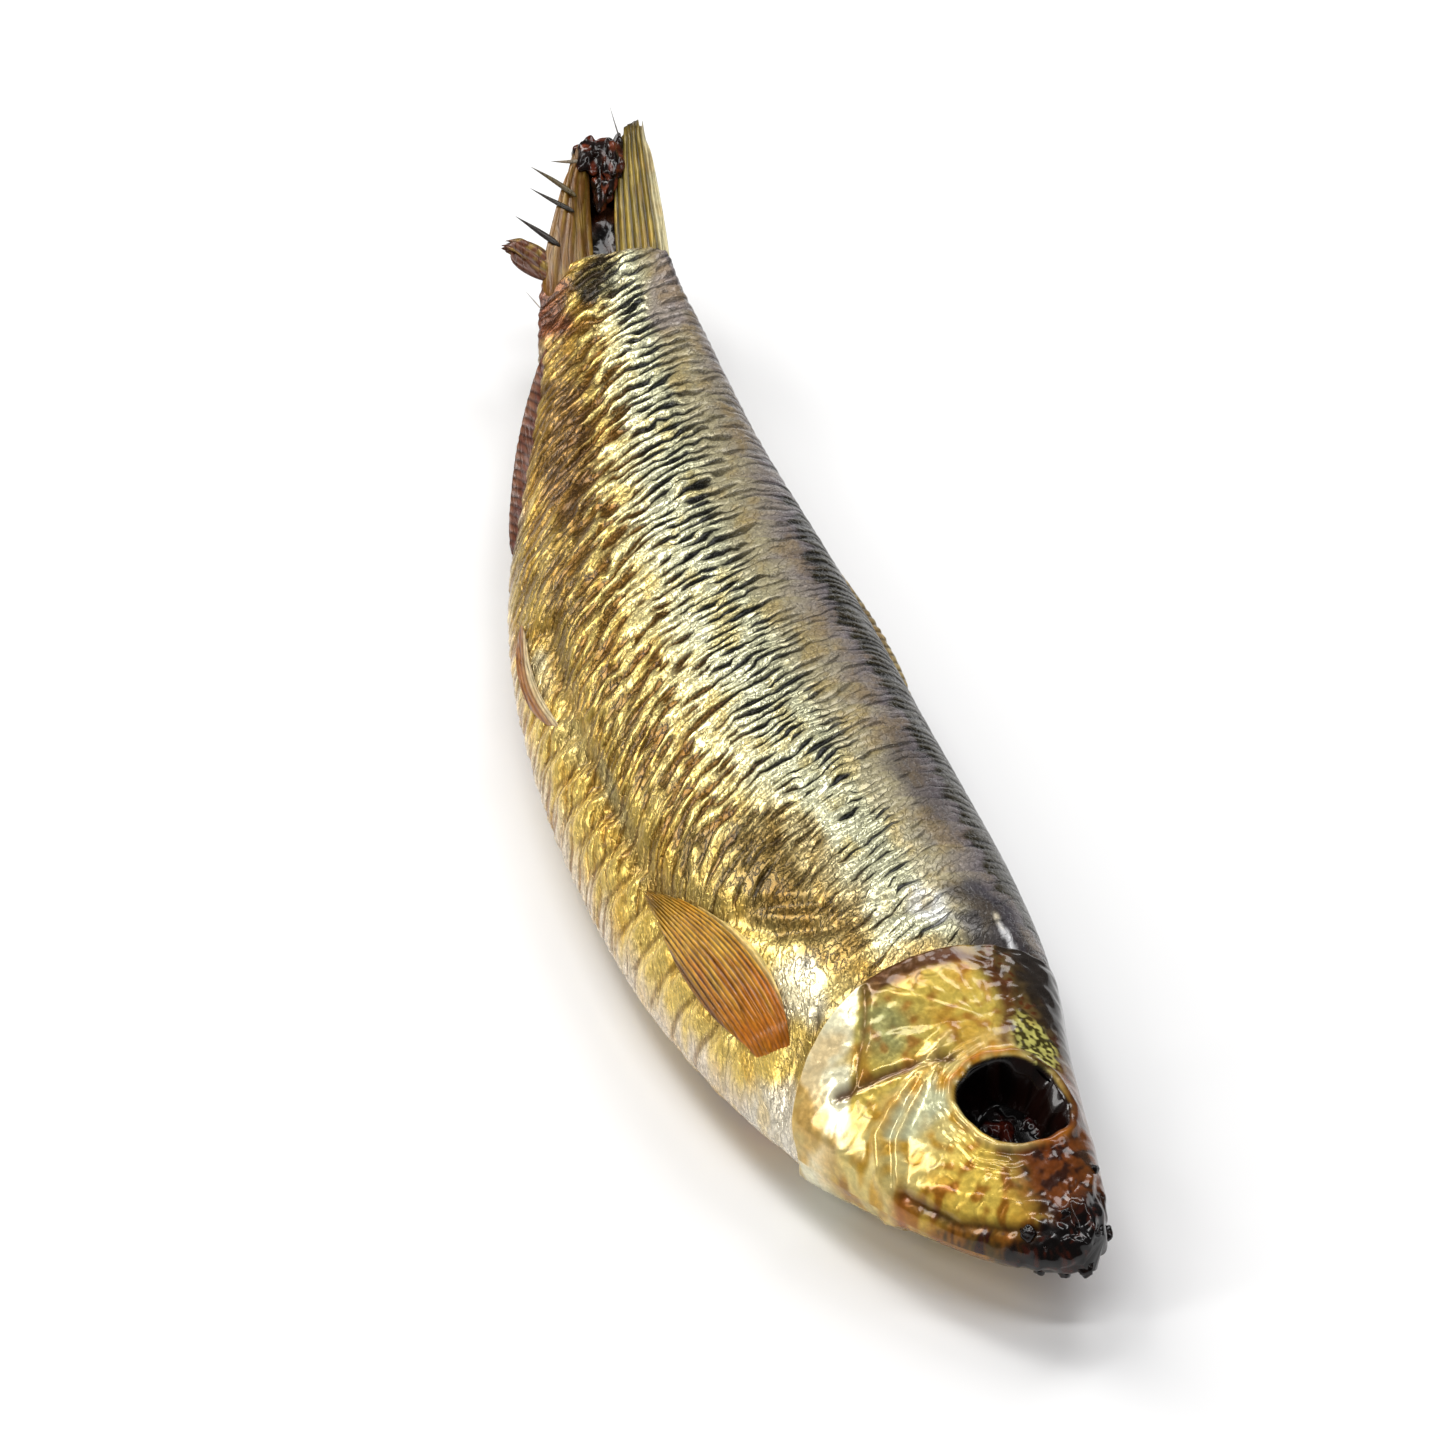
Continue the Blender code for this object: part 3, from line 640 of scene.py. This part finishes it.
def headColour(along, across, side, eyeFar):
    n1 = wave(along * 0.45, across * 0.45, side * 3.0)
    n2 = wave(along * 1.3, across * 1.3, side * 3.0 + 8.0)
    n3 = wave(along * 3.4, across * 3.4, side * 3.0 + 17.0)
    # gill plate: yellow, with a grey-green part at its hind border and brown towards the top
    plate = mottle(paint(212, 184, 82), paint(192, 150, 56), n1 + 0.5 * n2, 0.0, 0.35)
    greenFar = hypot((along - 17.5) / 2.6, (across + 2.0) / 2.3) + 0.5 * n1 + 0.15 * n2
    plate = blend(plate, paint(148, 150, 96), 0.9 * fadeOut(greenFar, 0.2, 1.2))
    toTop = smoothStep(n2 + 0.4 * n1 + 0.3 * smoothStep(across, 0.5, 3.5), 0.2, 0.55)
    colour = blend(plate, paint(160, 98, 30), 0.6 * toTop)
    # cheek and the folds before it
    cheek = mottle(paint(226, 206, 130), paint(204, 158, 52), n2 + 0.5 * n1, -0.15, 0.35)
    paleFar = hypot((along - 12.4) / 1.2, (across + 3.2) / 2.4) + 0.3 * n2
    cheek = blend(cheek, paint(216, 216, 172), fadeOut(paleFar, 0.6, 1.1))
    colour = blend(colour, cheek, fadeOut(along + 0.6 * n1, 13.2, 14.6))
    # gold below the eye, then the brown snout
    gold = mottle(paint(232, 198, 84), paint(172, 116, 30), n2, -0.05, 0.4)
    colour = blend(colour, gold, fadeOut(along + 1.2 * n1, 8.4, 10.4))
    snout = mottle(paint(112, 58, 18), paint(50, 22, 10), n2 + 0.4 * n3, -0.2, 0.35)
    toSnout = smoothStep(across + 0.28 * (9.0 - along) + 1.4 * n1, -2.2, 0.6)
    toSnout = max(toSnout, fadeOut(along + 0.8 * n2, 2.4, 3.8))
    colour = blend(colour, snout, toSnout * fadeOut(along, 7.2, 10.2))
    # nape, the gold glitter over the eye, with pale specks painted as glints, and the strip along the
    # forehead
    nape = mottle(paint(56, 42, 22), paint(108, 86, 46), n2, -0.3, 0.3)
    nape = mottle(nape, paint(96, 52, 18), n2 + n3, 0.25, 0.5)
    nape = mottle(nape, paint(44, 38, 34), across, 5.6, 7.2)
    napeShare = smoothStep(across + 0.9 * n1, 3.9, 5.2) * smoothStep(along, 9.0, 12.0)
    colour = blend(colour, nape, napeShare)
    # painted glints: pale gold specks of the glitter
    glitter = mottle(paint(70, 62, 22), paint(206, 200, 110), n3, -0.05, 0.1)
    glitterFar = hypot((along - 12.9) / 2.4, (across - 4.9) / 1.2) + 0.3 * n2
    colour = blend(colour, glitter, fadeOut(glitterFar, 0.7, 1.1))
    forehead = mottle(paint(112, 62, 20), paint(64, 40, 22), n2, -0.1, 0.3)
    edgeStrip = smoothStep(across - 0.42 * along, -0.2, 1.0) * fadeOut(along, 10.5, 12.5)
    colour = blend(colour, forehead, edgeStrip)
    # pale panel behind the plate, and the throat
    pale = mottle(paint(244, 238, 200), paint(214, 188, 116), n1 + 0.4 * n2, 0.0, 0.4)
    panel = smoothStep(-across - 1.8 - 0.74 * (20.2 - along) + 0.15 * n1, 0.0, 0.5)
    panel *= smoothStep(along, 13.4, 15.4)
    colour = blend(colour, pale, panel)
    throat = mottle(paint(196, 152, 58), paint(150, 100, 36), n2, -0.1, 0.3)
    throatShare = smoothStep(-across + 0.3 * n1, 7.4, 8.4) * fadeOut(along, 13.5, 15.0)
    colour = blend(colour, throat, throatShare)
    # lines
    # painted shadow: dark brown along the crease, in its groove
    crease = ridge(lineDistance(along, across, head["shadedCrease"]) + 0.1 * n2, 0.32)
    colour = blend(colour, paint(94, 56, 34), 0.9 * crease)
    for line, tinted, amount, width in headLines:
        colour = blend(colour, tinted, amount * ridge(lineDistance(along, across, head[line]), width))
    # lower jaw, the knot at the corner of the mouth and the brown lip of the gill cover
    jawShare = smoothStep(-across - 0.7 - 0.66 * along, 0.0, 0.6) * fadeOut(along, 8.8, 10.6)
    jawTone = n1 + 0.4 * n3 + 0.08 * (7.0 - along)
    jaw = mottle(paint(142, 88, 24), paint(40, 20, 10), jawTone, -0.1, 0.4)
    colour = blend(colour, jaw, 0.92 * jawShare)
    knot = ridge(hypot(along - 9.6, (across + 6.9) * 1.1), 0.8)
    colour = blend(colour, paint(160, 84, 16), 0.9 * knot)
    lip = mottle(paint(82, 44, 20), paint(124, 84, 44), n2, 0.0, 0.4)
    lipShare = smoothStep(along, gillLine(across) - 1.5, gillLine(across) - 0.8)
    lipShare *= smoothStep(across, -2.6, -1.2)
    colour = blend(colour, lip, 0.95 * lipShare * fadeOut(across, 3.6, 5.0))
    topLine = ridge(lineDistance(along, across, head["topLine"]), 0.42)
    colour = blend(colour, paint(92, 52, 24), 0.8 * topLine)
    # rim and hollow of the eye
    toBelly = -across - 0.3 * (along - 10.1)
    rim = mottle(paint(184, 112, 30), paint(232, 204, 128), toBelly, -0.4, 1.2)
    rim = mottle(rim, paint(84, 42, 16), across, 2.4, 3.8)
    colour = blend(colour, rim, 0.7 * ridge(eyeFar - 1.14, 0.07))
    inside = fadeOut(eyeFar, 1.01, 1.06)
    hole = mottle(paint(5, 3, 2), paint(24, 9, 6), n2 + 0.2 * across, 0.2, 0.7)
    colour = blend(colour, hole, inside)
    # burnt tip
    burnt = fadeOut(along + 0.9 * n2 + 0.25 * across, 1.7, 3.2)
    spots = fadeOut(along, 4.5, 7.0) * smoothStep(n2 + n3, 0.3, 0.55) * jawShare
    burnt = max(burnt, spots)
    char = mottle(paint(7, 3, 3), paint(58, 22, 11), n3 + 0.5 * n2, 0.1, 0.45)
    colour = blend(colour, char, burnt)
    metal = 0.25 * (1.0 - max(inside, burnt)) * (1.0 - 0.8 * toSnout)
    return colour, metal


def headForm(share, turn):
    # most of the rings lie on the face, the rest close the back inside the trunk
    edgeBase = head["gillEdge"] + head["lip"]
    base = 0.3 + (edgeBase - 0.3) * min(1.0, share / head["capStart"])
    cap = max(0.0, (share - head["capStart"]) / (1.0 - head["capStart"]))
    turn += trunk["lean"] * cos(turn)
    across, out, toBack, toSide = section(base, turn)
    along = base * gillLine(across) / head["gillEdge"]
    across, out, toBack, toSide = section(along, turn)
    side = 1.0 if out > 0.0 else -1.0
    edge = gillLine(across)
    face = smoothStep(abs(sin(turn)), 0.1, 0.5)

    eyeAlong = (along - head["eye"][0]) / head["eyeReach"][0]
    eyeAcross = (across - head["eye"][1]) / head["eyeReach"][1]
    # the hollow's lower side is flatter than its upper side
    eyeFar = (abs(eyeAlong) ** head["eyeSquare"] + abs(eyeAcross) ** head["eyeSquare"])
    eyeFar **= 1.0 / head["eyeSquare"]
    eyeFar += 0.05 * wave(along * 0.9, across * 0.9, side)
    lower = 0.5 * (head["eye"][0] - along) + 0.87 * (head["eye"][1] - across)
    eyeFar += head["eyeFlat"] * smoothStep(lower, 1.4, 2.8)

    height = head["gillRise"] * smoothStep(along, edge - head["gillLength"], edge - 1.0)
    for line, rise, width in headRelief:
        height += rise * ridge(lineDistance(along, across, head[line]), width)
    height += (0.06 * wave(along * 0.9, across * 0.9, side * 2.0)
               + 0.015 * wave(along * 2.6, across * 2.2, side * 6.0))
    muzzle = fadeOut(along, 7.5, 9.5) * smoothStep(across + 0.3 * along, -0.5, 1.5)
    height += 0.1 * muzzle * wave(along * 1.1, across * 1.3, side * 8.0)
    fan = atan2(across - 3.4, 15.2 - along)
    plate = smoothStep(along, 15.2, 16.4) * fadeOut(-across, 3.5, 6.0)
    height += 0.06 * plate * wave(fan * 7.0, (along - 15.2) * 0.2, side * 5.0)
    # folds of skin round the eye
    rings = sin(2.0 * pi * (eyeFar - 1.12) / 0.17) * fadeOut(eyeFar, 1.5, 1.75)
    rings *= smoothStep(eyeFar, 1.05, 1.15) * smoothStep(-across + 0.4 * (along - 10.0), -1.4, 1.2)
    height = height * smoothStep(eyeFar, 0.9, 1.4) + 0.28 * ridge(eyeFar - 1.12, 0.11) + 0.05 * rings
    height -= head["eyeDepth"] * fadeOut(eyeFar, *head["eyeWall"])
    # nape: low scales and pits
    rough = smoothStep(across, 3.6, 5.2) * smoothStep(along, 9.0, 13.0)
    height += 0.09 * rough * wave(along * 1.7, across * 1.7, side)
    height *= face
    height += 0.1 * smoothStep(along, edge - 4.0, edge - 0.5)

    colour, metal = headColour(along, across, side, eyeFar)
    burn = fadeOut(along, 0.55 * head["charReach"], head["charReach"])
    bump = burn * head["charHeight"] * (wave(along * 1.2, across * 1.2, out * 1.2)
                                        + 0.2 * wave(along * 2.2, across * 2.2, out * 2.2))

    # the cover's edge rolls over and dives under, and the back is closed inside the trunk
    over = max(0.0, base - head["gillEdge"]) / head["lip"]
    height -= (0.95 * face + 0.3) * (1.0 - sqrt(max(0.0, 1.0 - over * over)))
    shrink = 1.0 - cap
    spot = (along + jawSlant(along, across) - bump, (across + height * toBack) * shrink,
            (out + (height + bump) * toSide) * shrink)
    return spot, colour, metal, (along, across, out)


makePiece("headSkin", "head", (head["rings"], head["spokes"], headForm))
print("head made")


# Wet lining of the eye hollows, with a few soft lumps on the floor
hollow = dict(rings=70, spokes=90, reach=0.99, clear=0.1, thick=0.35, lump=0.8)


def liningForm(side):
    def form(share, turn):
        r = hollow["reach"] * arch(share)
        c, s = cos(turn), sin(turn)
        bend = head["eyeSquare"]
        square = (abs(c) ** bend + abs(s) ** bend) ** (-1.0 / bend)
        x = head["eye"][0] + head["eyeReach"][0] * r * square * c
        y = head["eye"][1] + head["eyeReach"][1] * r * square * s
        lump = max(0.0, wave(x * 0.7, y * 0.7, side * 3.0) + 0.4 * wave(x * 1.7, y * 1.7, side) + 0.1)
        depth = head["eyeDepth"] * fadeOut(r, *head["eyeWall"])
        out = flank(x, y) - depth + hollow["clear"] + hollow["lump"] * lump * (1.0 - r * r)
        if share > 0.5:
            out -= hollow["thick"] * arch(share - 0.5) ** 0.5
        colour = blend(paint(5, 3, 3), paint(58, 18, 10), smoothStep(lump * (1.0 - r), 0.02, 0.25))
        return (x, y, side * out), colour, 0.0, (x, y, out)

    return form


balls = [(hollow["rings"], hollow["spokes"], liningForm(side)) for side in (1.0, -1.0)]
makePiece("socketLining", "wet", *balls)


# From the middle of a ball to its skin
def ballWay(share, turn):
    ring = arch(share)
    return Vector((ring * cos(turn), ring * sin(turn), cos(pi * share)))


# Crumbs of burnt crust on the jaws
crumbs = dict(count=16, size=(0.2, 0.5), seed=4)


def crumbForm(centre, radius, seed):
    def form(share, turn):
        way = ballWay(share, turn)
        grow = radius * (1.0 + 0.5 * noise.noise(way * 1.3 + Vector((seed, 0.0, 0.0))))
        spot = tuple(c + w * grow for c, w in zip(centre, way))
        tone = smoothStep(noise.noise(way * 2.0 + Vector((0.0, seed, 0.0))), -0.1, 0.5)
        return spot, blend(paint(9, 5, 5), paint(36, 16, 9), tone), 0.0, spot

    return form


noise.seed_set(crumbs["seed"])
balls = []
for i in range(crumbs["count"]):
    along = 0.6 + 3.4 * noise.random() ** 1.6
    turn = radians(mix(20.0, 340.0, noise.random()))
    across, out = section(along, turn)[:2]
    radius = mix(*crumbs["size"], noise.random() ** 2)
    centre = (along + jawSlant(along, across), across * 0.94, out * 0.9)
    balls.append((14, 18, crumbForm(centre, radius, i * 1.7)))
makePiece("jawCrust", "crust", *balls)
print("hollows and crust made")


# How full a fin is from end to end: 0 at the ends, 1 in the middle
def fullness(share, power):
    return arch(share) ** power if 0.001 < share < 0.999 else 0.0


# A fin: a ball pressed flat along shape(s, t), s from end to end and t from edge to edge
def bladeForm(shape, thickness, side, look, blunt=0.35):
    def form(share, turn):
        fill = fullness(share, blunt)
        t = 0.5 + 0.5 * fill * cos(turn)
        along, across, out = shape(share, t)
        rib, colour, metal = look(share, t)
        upper = 1.0 if sin(turn) * side > 0.0 else -1.0
        lift = 0.5 * thickness(share, t) * fill * sin(turn)
        lift += side * rib * fill * (0.5 + 0.5 * upper)
        return (along, across, out + lift), colour, metal, (along, across, out)

    return form


def evenly(thick):
    def thickness(s, t):
        return thick

    return thickness


# A curve through three points
def bow(a, b, c, t):
    return tuple(p * (1.0 - t) * (1.0 - 2.0 * t) + 4.0 * q * t * (1.0 - t) + r * t * (2.0 * t - 1.0)
                 for p, q, r in zip(a, b, c))


# Breast fins
breast = dict(
    upper=((19.2, -6.4), (27.0, -5.7), (35.8, -9.0)),
    lower=((20.8, -8.6), (27.6, -9.5), (35.6, -9.7)),
    sink=0.5, rise=0.75, lift=0.1, belly=0.25, thick=0.45, rays=15, clearance=0.35,
)


def breastShape(side):
    def shape(s, t):
        reach = 1.0 - 0.12 * abs(sin(pi * breast["rays"] * t)) * smoothStep(s, 0.6, 1.0)
        upper = bow(*breast["upper"], s * reach)
        lower = bow(*breast["lower"], s * reach)
        along, across = (mix(u, v, t) for u, v in zip(upper, lower))
        out = flank(along, across) + breast["lift"] * s + breast["belly"] * arch(s)
        out += breast["rise"] * smoothStep(s, 0.02, 0.16) - breast["sink"]
        if side < 0.0:
            out = min(out, (body["midHeight"] + across * rollSin - breast["clearance"]) / rollCos)
        return along, across, side * out

    return shape


def breastLook(s, t):
    ray = abs(cos(pi * breast["rays"] * t))
    apart = smoothStep(s, 0.12, 0.45)
    wobble = wave(s * 6.0, t * 8.0)
    colour = blend(paint(192, 116, 14), paint(222, 172, 60), smoothStep(s + 0.4 * wobble, 0.2, 0.75))
    colour = blend(colour, paint(70, 36, 6), mix(0.4, 0.95, apart) * fadeOut(ray, 0.3, 0.75))
    colour = blend(colour, paint(92, 58, 16), 0.7 * fadeOut(1.0 - t, 0.03, 0.12))
    paleEdge = fadeOut(t, 0.04, 0.13) * smoothStep(s, 0.1, 0.3)
    colour = blend(colour, paint(240, 216, 140), paleEdge)
    colour = blend(colour, paint(120, 80, 26), 0.5 * smoothStep(s, 0.75, 1.0))
    return 0.16 * ray * mix(0.3, 1.0, apart), colour, 0.1


for side, name in ((1.0, "breastFinUp"), (-1.0, "breastFinDown")):
    fin = bladeForm(breastShape(side), evenly(breast["thick"]), side, breastLook)
    makePiece(name, "fin", (120, 160, fin))


# Keel and ridge fins
keel = dict(
    sink=0.9, analSpan=(69.0, 86.0), analHeight=0.55, analLean=0.35, analSweep=1.2,
    pelvicRoot=(50.4, 53.4), pelvicLength=9.5, pelvicWidth=1.7, pelvicBow=0.5, pelvicLift=0.25,
    dorsalSpan=(46.0, 71.0), dorsalHeight=0.9, dorsalLean=(0.7, 0.6), thick=0.4,
)


def analShape(s, t):
    along = mix(*keel["analSpan"], s)
    stand = keel["analHeight"] * arch(0.12 + 0.86 * s) ** 0.7
    stand *= 1.0 - 0.2 * abs(wave(s * 22.0, 0.0))
    across = keel["sink"] - spineRow(along)[4] - (keel["sink"] + stand) * t
    return along + keel["analSweep"] * t, across, keel["analLean"] * t + 0.15 * wave(s * 9.0, t * 2.0)


def pelvicShape(side):
    def shape(s, t):
        along = mix(*keel["pelvicRoot"], t) + keel["pelvicLength"] * s
        depth = spineRow(along)[4]
        width = keel["pelvicWidth"] * (1.0 - t) * (1.0 - 0.7 * s)
        across = keel["sink"] - depth + width - keel["pelvicBow"] * arch(s)
        return along, across, side * (flank(along, max(across, 0.7 - depth)) + keel["pelvicLift"] * s)

    return shape


def dorsalShape(s, t):
    along = mix(*keel["dorsalSpan"], s)
    stand = keel["dorsalHeight"] * arch(s ** 0.8) ** 0.8
    stand *= 1.0 - 0.25 * abs(wave(s * 26.0, 3.0))
    across = spineRow(along)[3] - keel["sink"] + (keel["sink"] + stand) * t
    return along, across, -keel["dorsalLean"][0] - keel["dorsalLean"][1] * t


def rayLook(count, base, dark, pale, depth):
    def look(s, t):
        ray = abs(cos(pi * count * s))
        wobble = wave(s * 12.0, t * 3.0, 4.0)
        colour = blend(blend(base, pale, smoothStep(t + 0.5 * wobble, 0.4, 1.0)), dark,
                       0.8 * fadeOut(ray, 0.2, 0.8))
        return depth * ray, colour, 0.1

    return look


def pelvicLook(s, t):
    ray = abs(cos(pi * 5.0 * t))
    colour = blend(paint(158, 102, 40), paint(222, 204, 158), smoothStep(0.6 - t, -0.1, 0.35))
    colour = blend(colour, paint(98, 46, 20), 0.7 * fadeOut(ray, 0.2, 0.7))
    return 0.1 * ray, colour, 0.05


keelThick = evenly(keel["thick"])
look = rayLook(24, paint(92, 42, 20), paint(56, 26, 12), paint(120, 76, 50), 0.03)
makePiece("analFin", "fin", (150, 24, bladeForm(analShape, keelThick, 1.0, look)))
for side, name in ((1.0, "pelvicFinUp"), (-1.0, "pelvicFinDown")):
    makePiece(name, "fin", (80, 40, bladeForm(pelvicShape(side), keelThick, side, pelvicLook)))
look = rayLook(30, paint(112, 88, 48), paint(58, 44, 22), paint(176, 156, 108), 0.08)
makePiece("backFin", "fin", (180, 24, bladeForm(dorsalShape, keelThick, 1.0, look)))
print("fins made")


# Tail fin: two lobes, the web between them and the burnt lump
tail = dict(
    root=90.6, upper=((-1.5, 2.2), (-1.6, 1.5), (-1.2, 0.8)),
    lower=((-7.0, -2.6), (-5.5, -3.1), (-4.0, -2.8)),
    web=((-4.4, 0.6), (-4.2, 0.0), (-4.0, -0.6)), upperReach=12.6, lowerReach=11.4, webReach=10.6,
    rise=1.1, curl=0.9, webSink=1.5, thick=0.5,
    lumps=(((101.5, -2.9, 0.5), (1.4, 1.2, 0.8)), ((100.6, -1.5, 0.5), (1.9, 0.8, 0.75)),
           ((99.0, -2.3, 0.2), (1.5, 0.6, 0.6))),  # centre and reach of each
)


def lobeShape(edges, reach, innerEdge, rays):
    def shape(s, t):
        low, high = bow(*edges, s)
        curl = tail["curl"] * (1.0 - abs(t - innerEdge)) ** 2
        fray = 1.0 - 0.08 * abs(sin(pi * rays * t)) * smoothStep(s, 0.7, 1.0)
        return tail["root"] + reach * s * fray, mix(low, high, t), tail["rise"] * s - curl

    return shape


def webShape(s, t):
    low, high = bow(*tail["web"], s)
    sink = tail["webSink"] * arch(t) + 0.25
    return tail["root"] + tail["webReach"] * s, mix(low, high, t), tail["rise"] * s - sink


def lobeLook(rays, base, dark, edgeColour, paleEdge, depth=0.85):
    def look(s, t):
        ray = abs(cos(pi * rays * t + 0.4 * wave(s * 3.0, t * 2.0)))
        wobble = wave(s * 5.0, t * 9.0, rays)
        colour = blend(base, paint(168, 142, 56), depth * smoothStep(wobble, -0.1, 0.35))
        colour = blend(colour, dark, depth * fadeOut(ray, 0.25, 0.75))
        colour = blend(colour, edgeColour, fadeOut(abs(t - paleEdge), 0.08, 0.25))
        colour = blend(colour, paint(60, 34, 14), 0.5 * smoothStep(s + 0.2 * wobble, 0.85, 1.05))
        return 0.24 * depth * ray, colour, 0.15

    return look


def webLook(s, t):
    tone = smoothStep(wave(s * 7.0, t * 5.0), -0.05, 0.4)
    return 0.2 * abs(wave(s * 9.0, t * 4.0, 2.0)), blend(paint(8, 4, 3), paint(58, 32, 16), tone), 0.0


def tailThick(s, t):
    return tail["thick"] * mix(1.6, 1.0, smoothStep(s, 0.1, 0.45))


look = lobeLook(7, paint(132, 112, 40), paint(44, 34, 12), paint(196, 186, 146), 1.0)
shape = lobeShape(tail["upper"], tail["upperReach"], 0.0, 8)
makePiece("tailUpper", "fin", (110, 120, bladeForm(shape, tailThick, 1.0, look, 0.1)))
look = lobeLook(4, paint(112, 76, 24), paint(58, 30, 12), paint(132, 94, 34), 0.0, 0.36)
shape = lobeShape(tail["lower"], tail["lowerReach"], 1.0, 7)
makePiece("tailLower", "fin", (110, 120, bladeForm(shape, tailThick, 1.0, look, 0.2)))
makePiece("tailWeb", "crust", (50, 60, bladeForm(webShape, tailThick, 1.0, webLook)))


def lumpForm(centre, reach, seed):
    def form(share, turn):
        way = ballWay(share, turn)
        other = way + Vector((seed, 0.0, 0.0))
        grow = 1.0 + 0.6 * noise.noise(other * 1.3) + 0.1 * noise.noise(other * 3.4)
        spot = tuple(c + r * w * grow for c, r, w in zip(centre, reach, way))
        tone = smoothStep(noise.noise(other * 2.0), -0.05, 0.4)
        return spot, blend(paint(24, 9, 5), paint(104, 48, 26), tone), 0.0, spot

    return form


balls = [(60, 70, lumpForm(*lump, 4.0 * i)) for i, lump in enumerate(tail["lumps"])]
makePiece("tailLump", "crust", *balls)


# Loose rays that stand off the tail: root and tip as (along, across, out), radius, colour
looseRays = (
    ((94.4, -5.0, 0.6), (96.9, -7.8, 1.0), 0.42, paint(34, 24, 16)),
    ((96.8, -4.0, 0.8), (98.8, -6.8, 1.2), 0.3, paint(40, 32, 20)),
    ((97.8, -3.8, 1.0), (100.3, -6.7, 1.4), 0.36, paint(84, 70, 36)),
    ((100.6, -3.4, 1.0), (100.4, -5.4, 1.5), 0.2, paint(130, 120, 104)),
    ((101.4, -0.8, 0.7), (105.0, -1.6, 0.9), 0.36, paint(54, 46, 38)),
    ((90.0, -6.4, 0.0), (91.4, -7.4, 0.4), 0.1, paint(150, 140, 130)),
)


def strandForm(root, tip, radius, colour, seed):
    def form(share, turn):
        fill = fullness(share, 0.4)
        taper = mix(1.0, 0.12, share)
        bendBy = 0.35 * arch(share)
        spot = [mix(a, b, share) for a, b in zip(root, tip)]
        spot[0] += bendBy * wave(seed, 1.0) + radius * fill * taper * cos(turn)
        spot[2] += bendBy * wave(seed, 2.0) + 0.6 * radius * fill * taper * sin(turn)
        tone = blend(colour, paint(30, 18, 10), smoothStep(share, 0.5, 1.0) * 0.6)
        return tuple(spot), tone, 0.05, tuple(spot)

    return form


# a torn bundle of rays that stands off the root of the tail
fringe = dict(
    inner=((91.6, -6.0), (93.0, -7.6), (94.6, -9.2)),
    outer=((94.4, -5.6), (95.0, -6.9), (95.5, -8.3)), thick=0.4,
)


def fringeShape(s, t):
    inner, outer = bow(*fringe["inner"], s), bow(*fringe["outer"], s)
    reach = 1.0 - 0.1 * abs(sin(pi * 3.0 * t))
    return mix(inner[0], outer[0], t), mix(inner[1], outer[1], t) * mix(1.0, reach, s), 0.2 + 0.5 * s


look = lobeLook(4, paint(96, 50, 18), paint(44, 20, 9), paint(80, 40, 16), 0.0, 0.6)
torn = bladeForm(fringeShape, evenly(fringe["thick"]), 1.0, look, 0.2)
makePiece("tornRays", "fin", (60, 60, torn))
balls = [(30, 10, strandForm(*ray, i * 3.3)) for i, ray in enumerate(looseRays)]
makePiece("looseRays", "fin", *balls)
print("tail made")

# Floor, lights and camera
stage = dict(reach=1.5, floor=paint(243, 243, 244), world=0.12)
bpy.ops.mesh.primitive_plane_add(size=stage["reach"] * 2.0, location=(0.0, 0.0, 0.0))
floor = bpy.context.object
floor.name = "floor"
floorKit = Nodes("paleFloor")
floorKit.shader.inputs["Base Color"].default_value = (*stage["floor"], 1.0)
floorKit.shader.inputs["Roughness"].default_value = 0.6
floor.data.materials.append(floorKit.material)

world = bpy.data.worlds.new("studio")
bpy.context.scene.world = world
world.use_nodes = True
world.node_tree.nodes["Background"].inputs["Color"].default_value = (1.0, 0.99, 0.97, 1.0)
world.node_tree.nodes["Background"].inputs["Strength"].default_value = stage["world"]

# name, azimuth and elevation as seen from the fish, distance, size, power, colour
lights = (
    ("keyLeft", 297.0, 46.0, 0.55, (0.1, 0.34), 1.3, (1.0, 0.99, 0.96)),
    ("keyHigh", 285.0, 68.0, 0.55, (0.3, 0.08), 0.6, (1.0, 1.0, 1.0)),
    ("backRight", 228.0, 50.0, 0.55, (0.2, 0.2), 0.8, (1.0, 1.0, 1.0)),
    ("topStrip", 80.0, 76.0, 0.5, (0.3, 0.05), 0.6, (1.0, 1.0, 1.0)),
    ("leftFill", 10.0, 38.0, 0.5, (0.08, 0.3), 0.7, (1.0, 0.99, 0.97)),
    ("rightFill", 150.0, 35.0, 0.5, (0.05, 0.3), 0.3, (1.0, 1.0, 1.0)),
)


# From the fish towards a lamp or the camera
def lookBack(azimuth, elevation):
    a, e = radians(azimuth), radians(elevation)
    return Vector((sin(a) * cos(e), -cos(a) * cos(e), sin(e)))


for name, azimuth, elevation, distance, size, power, tinted in lights:
    lamp = bpy.data.lights.new(name, "AREA")
    lamp.shape = "RECTANGLE"
    lamp.size, lamp.size_y = size
    lamp.energy = power
    lamp.color = tinted
    holder = bpy.data.objects.new(name, lamp)
    back = lookBack(azimuth, elevation)
    holder.location = back * distance
    holder.rotation_euler = back.to_track_quat("Z", "Y").to_euler()
    bpy.context.scene.collection.objects.link(holder)

view = dict(azimuth=74.5, elevation=40.0, distance=0.514, lens=215.0, aim=(0.0, 0.0, 0.005))
camera = bpy.data.objects.new("camera", bpy.data.cameras.new("camera"))
back = lookBack(view["azimuth"], view["elevation"])
camera.location = Vector(view["aim"]) + back * view["distance"]
camera.rotation_euler = back.to_track_quat("Z", "Y").to_euler()
camera.data.lens = view["lens"]
camera.data.sensor_width = 36.0
camera.data.clip_start = 0.01
bpy.context.scene.collection.objects.link(camera)
bpy.context.scene.camera = camera
bpy.context.scene.view_settings.view_transform = "Standard"
print("stage set")
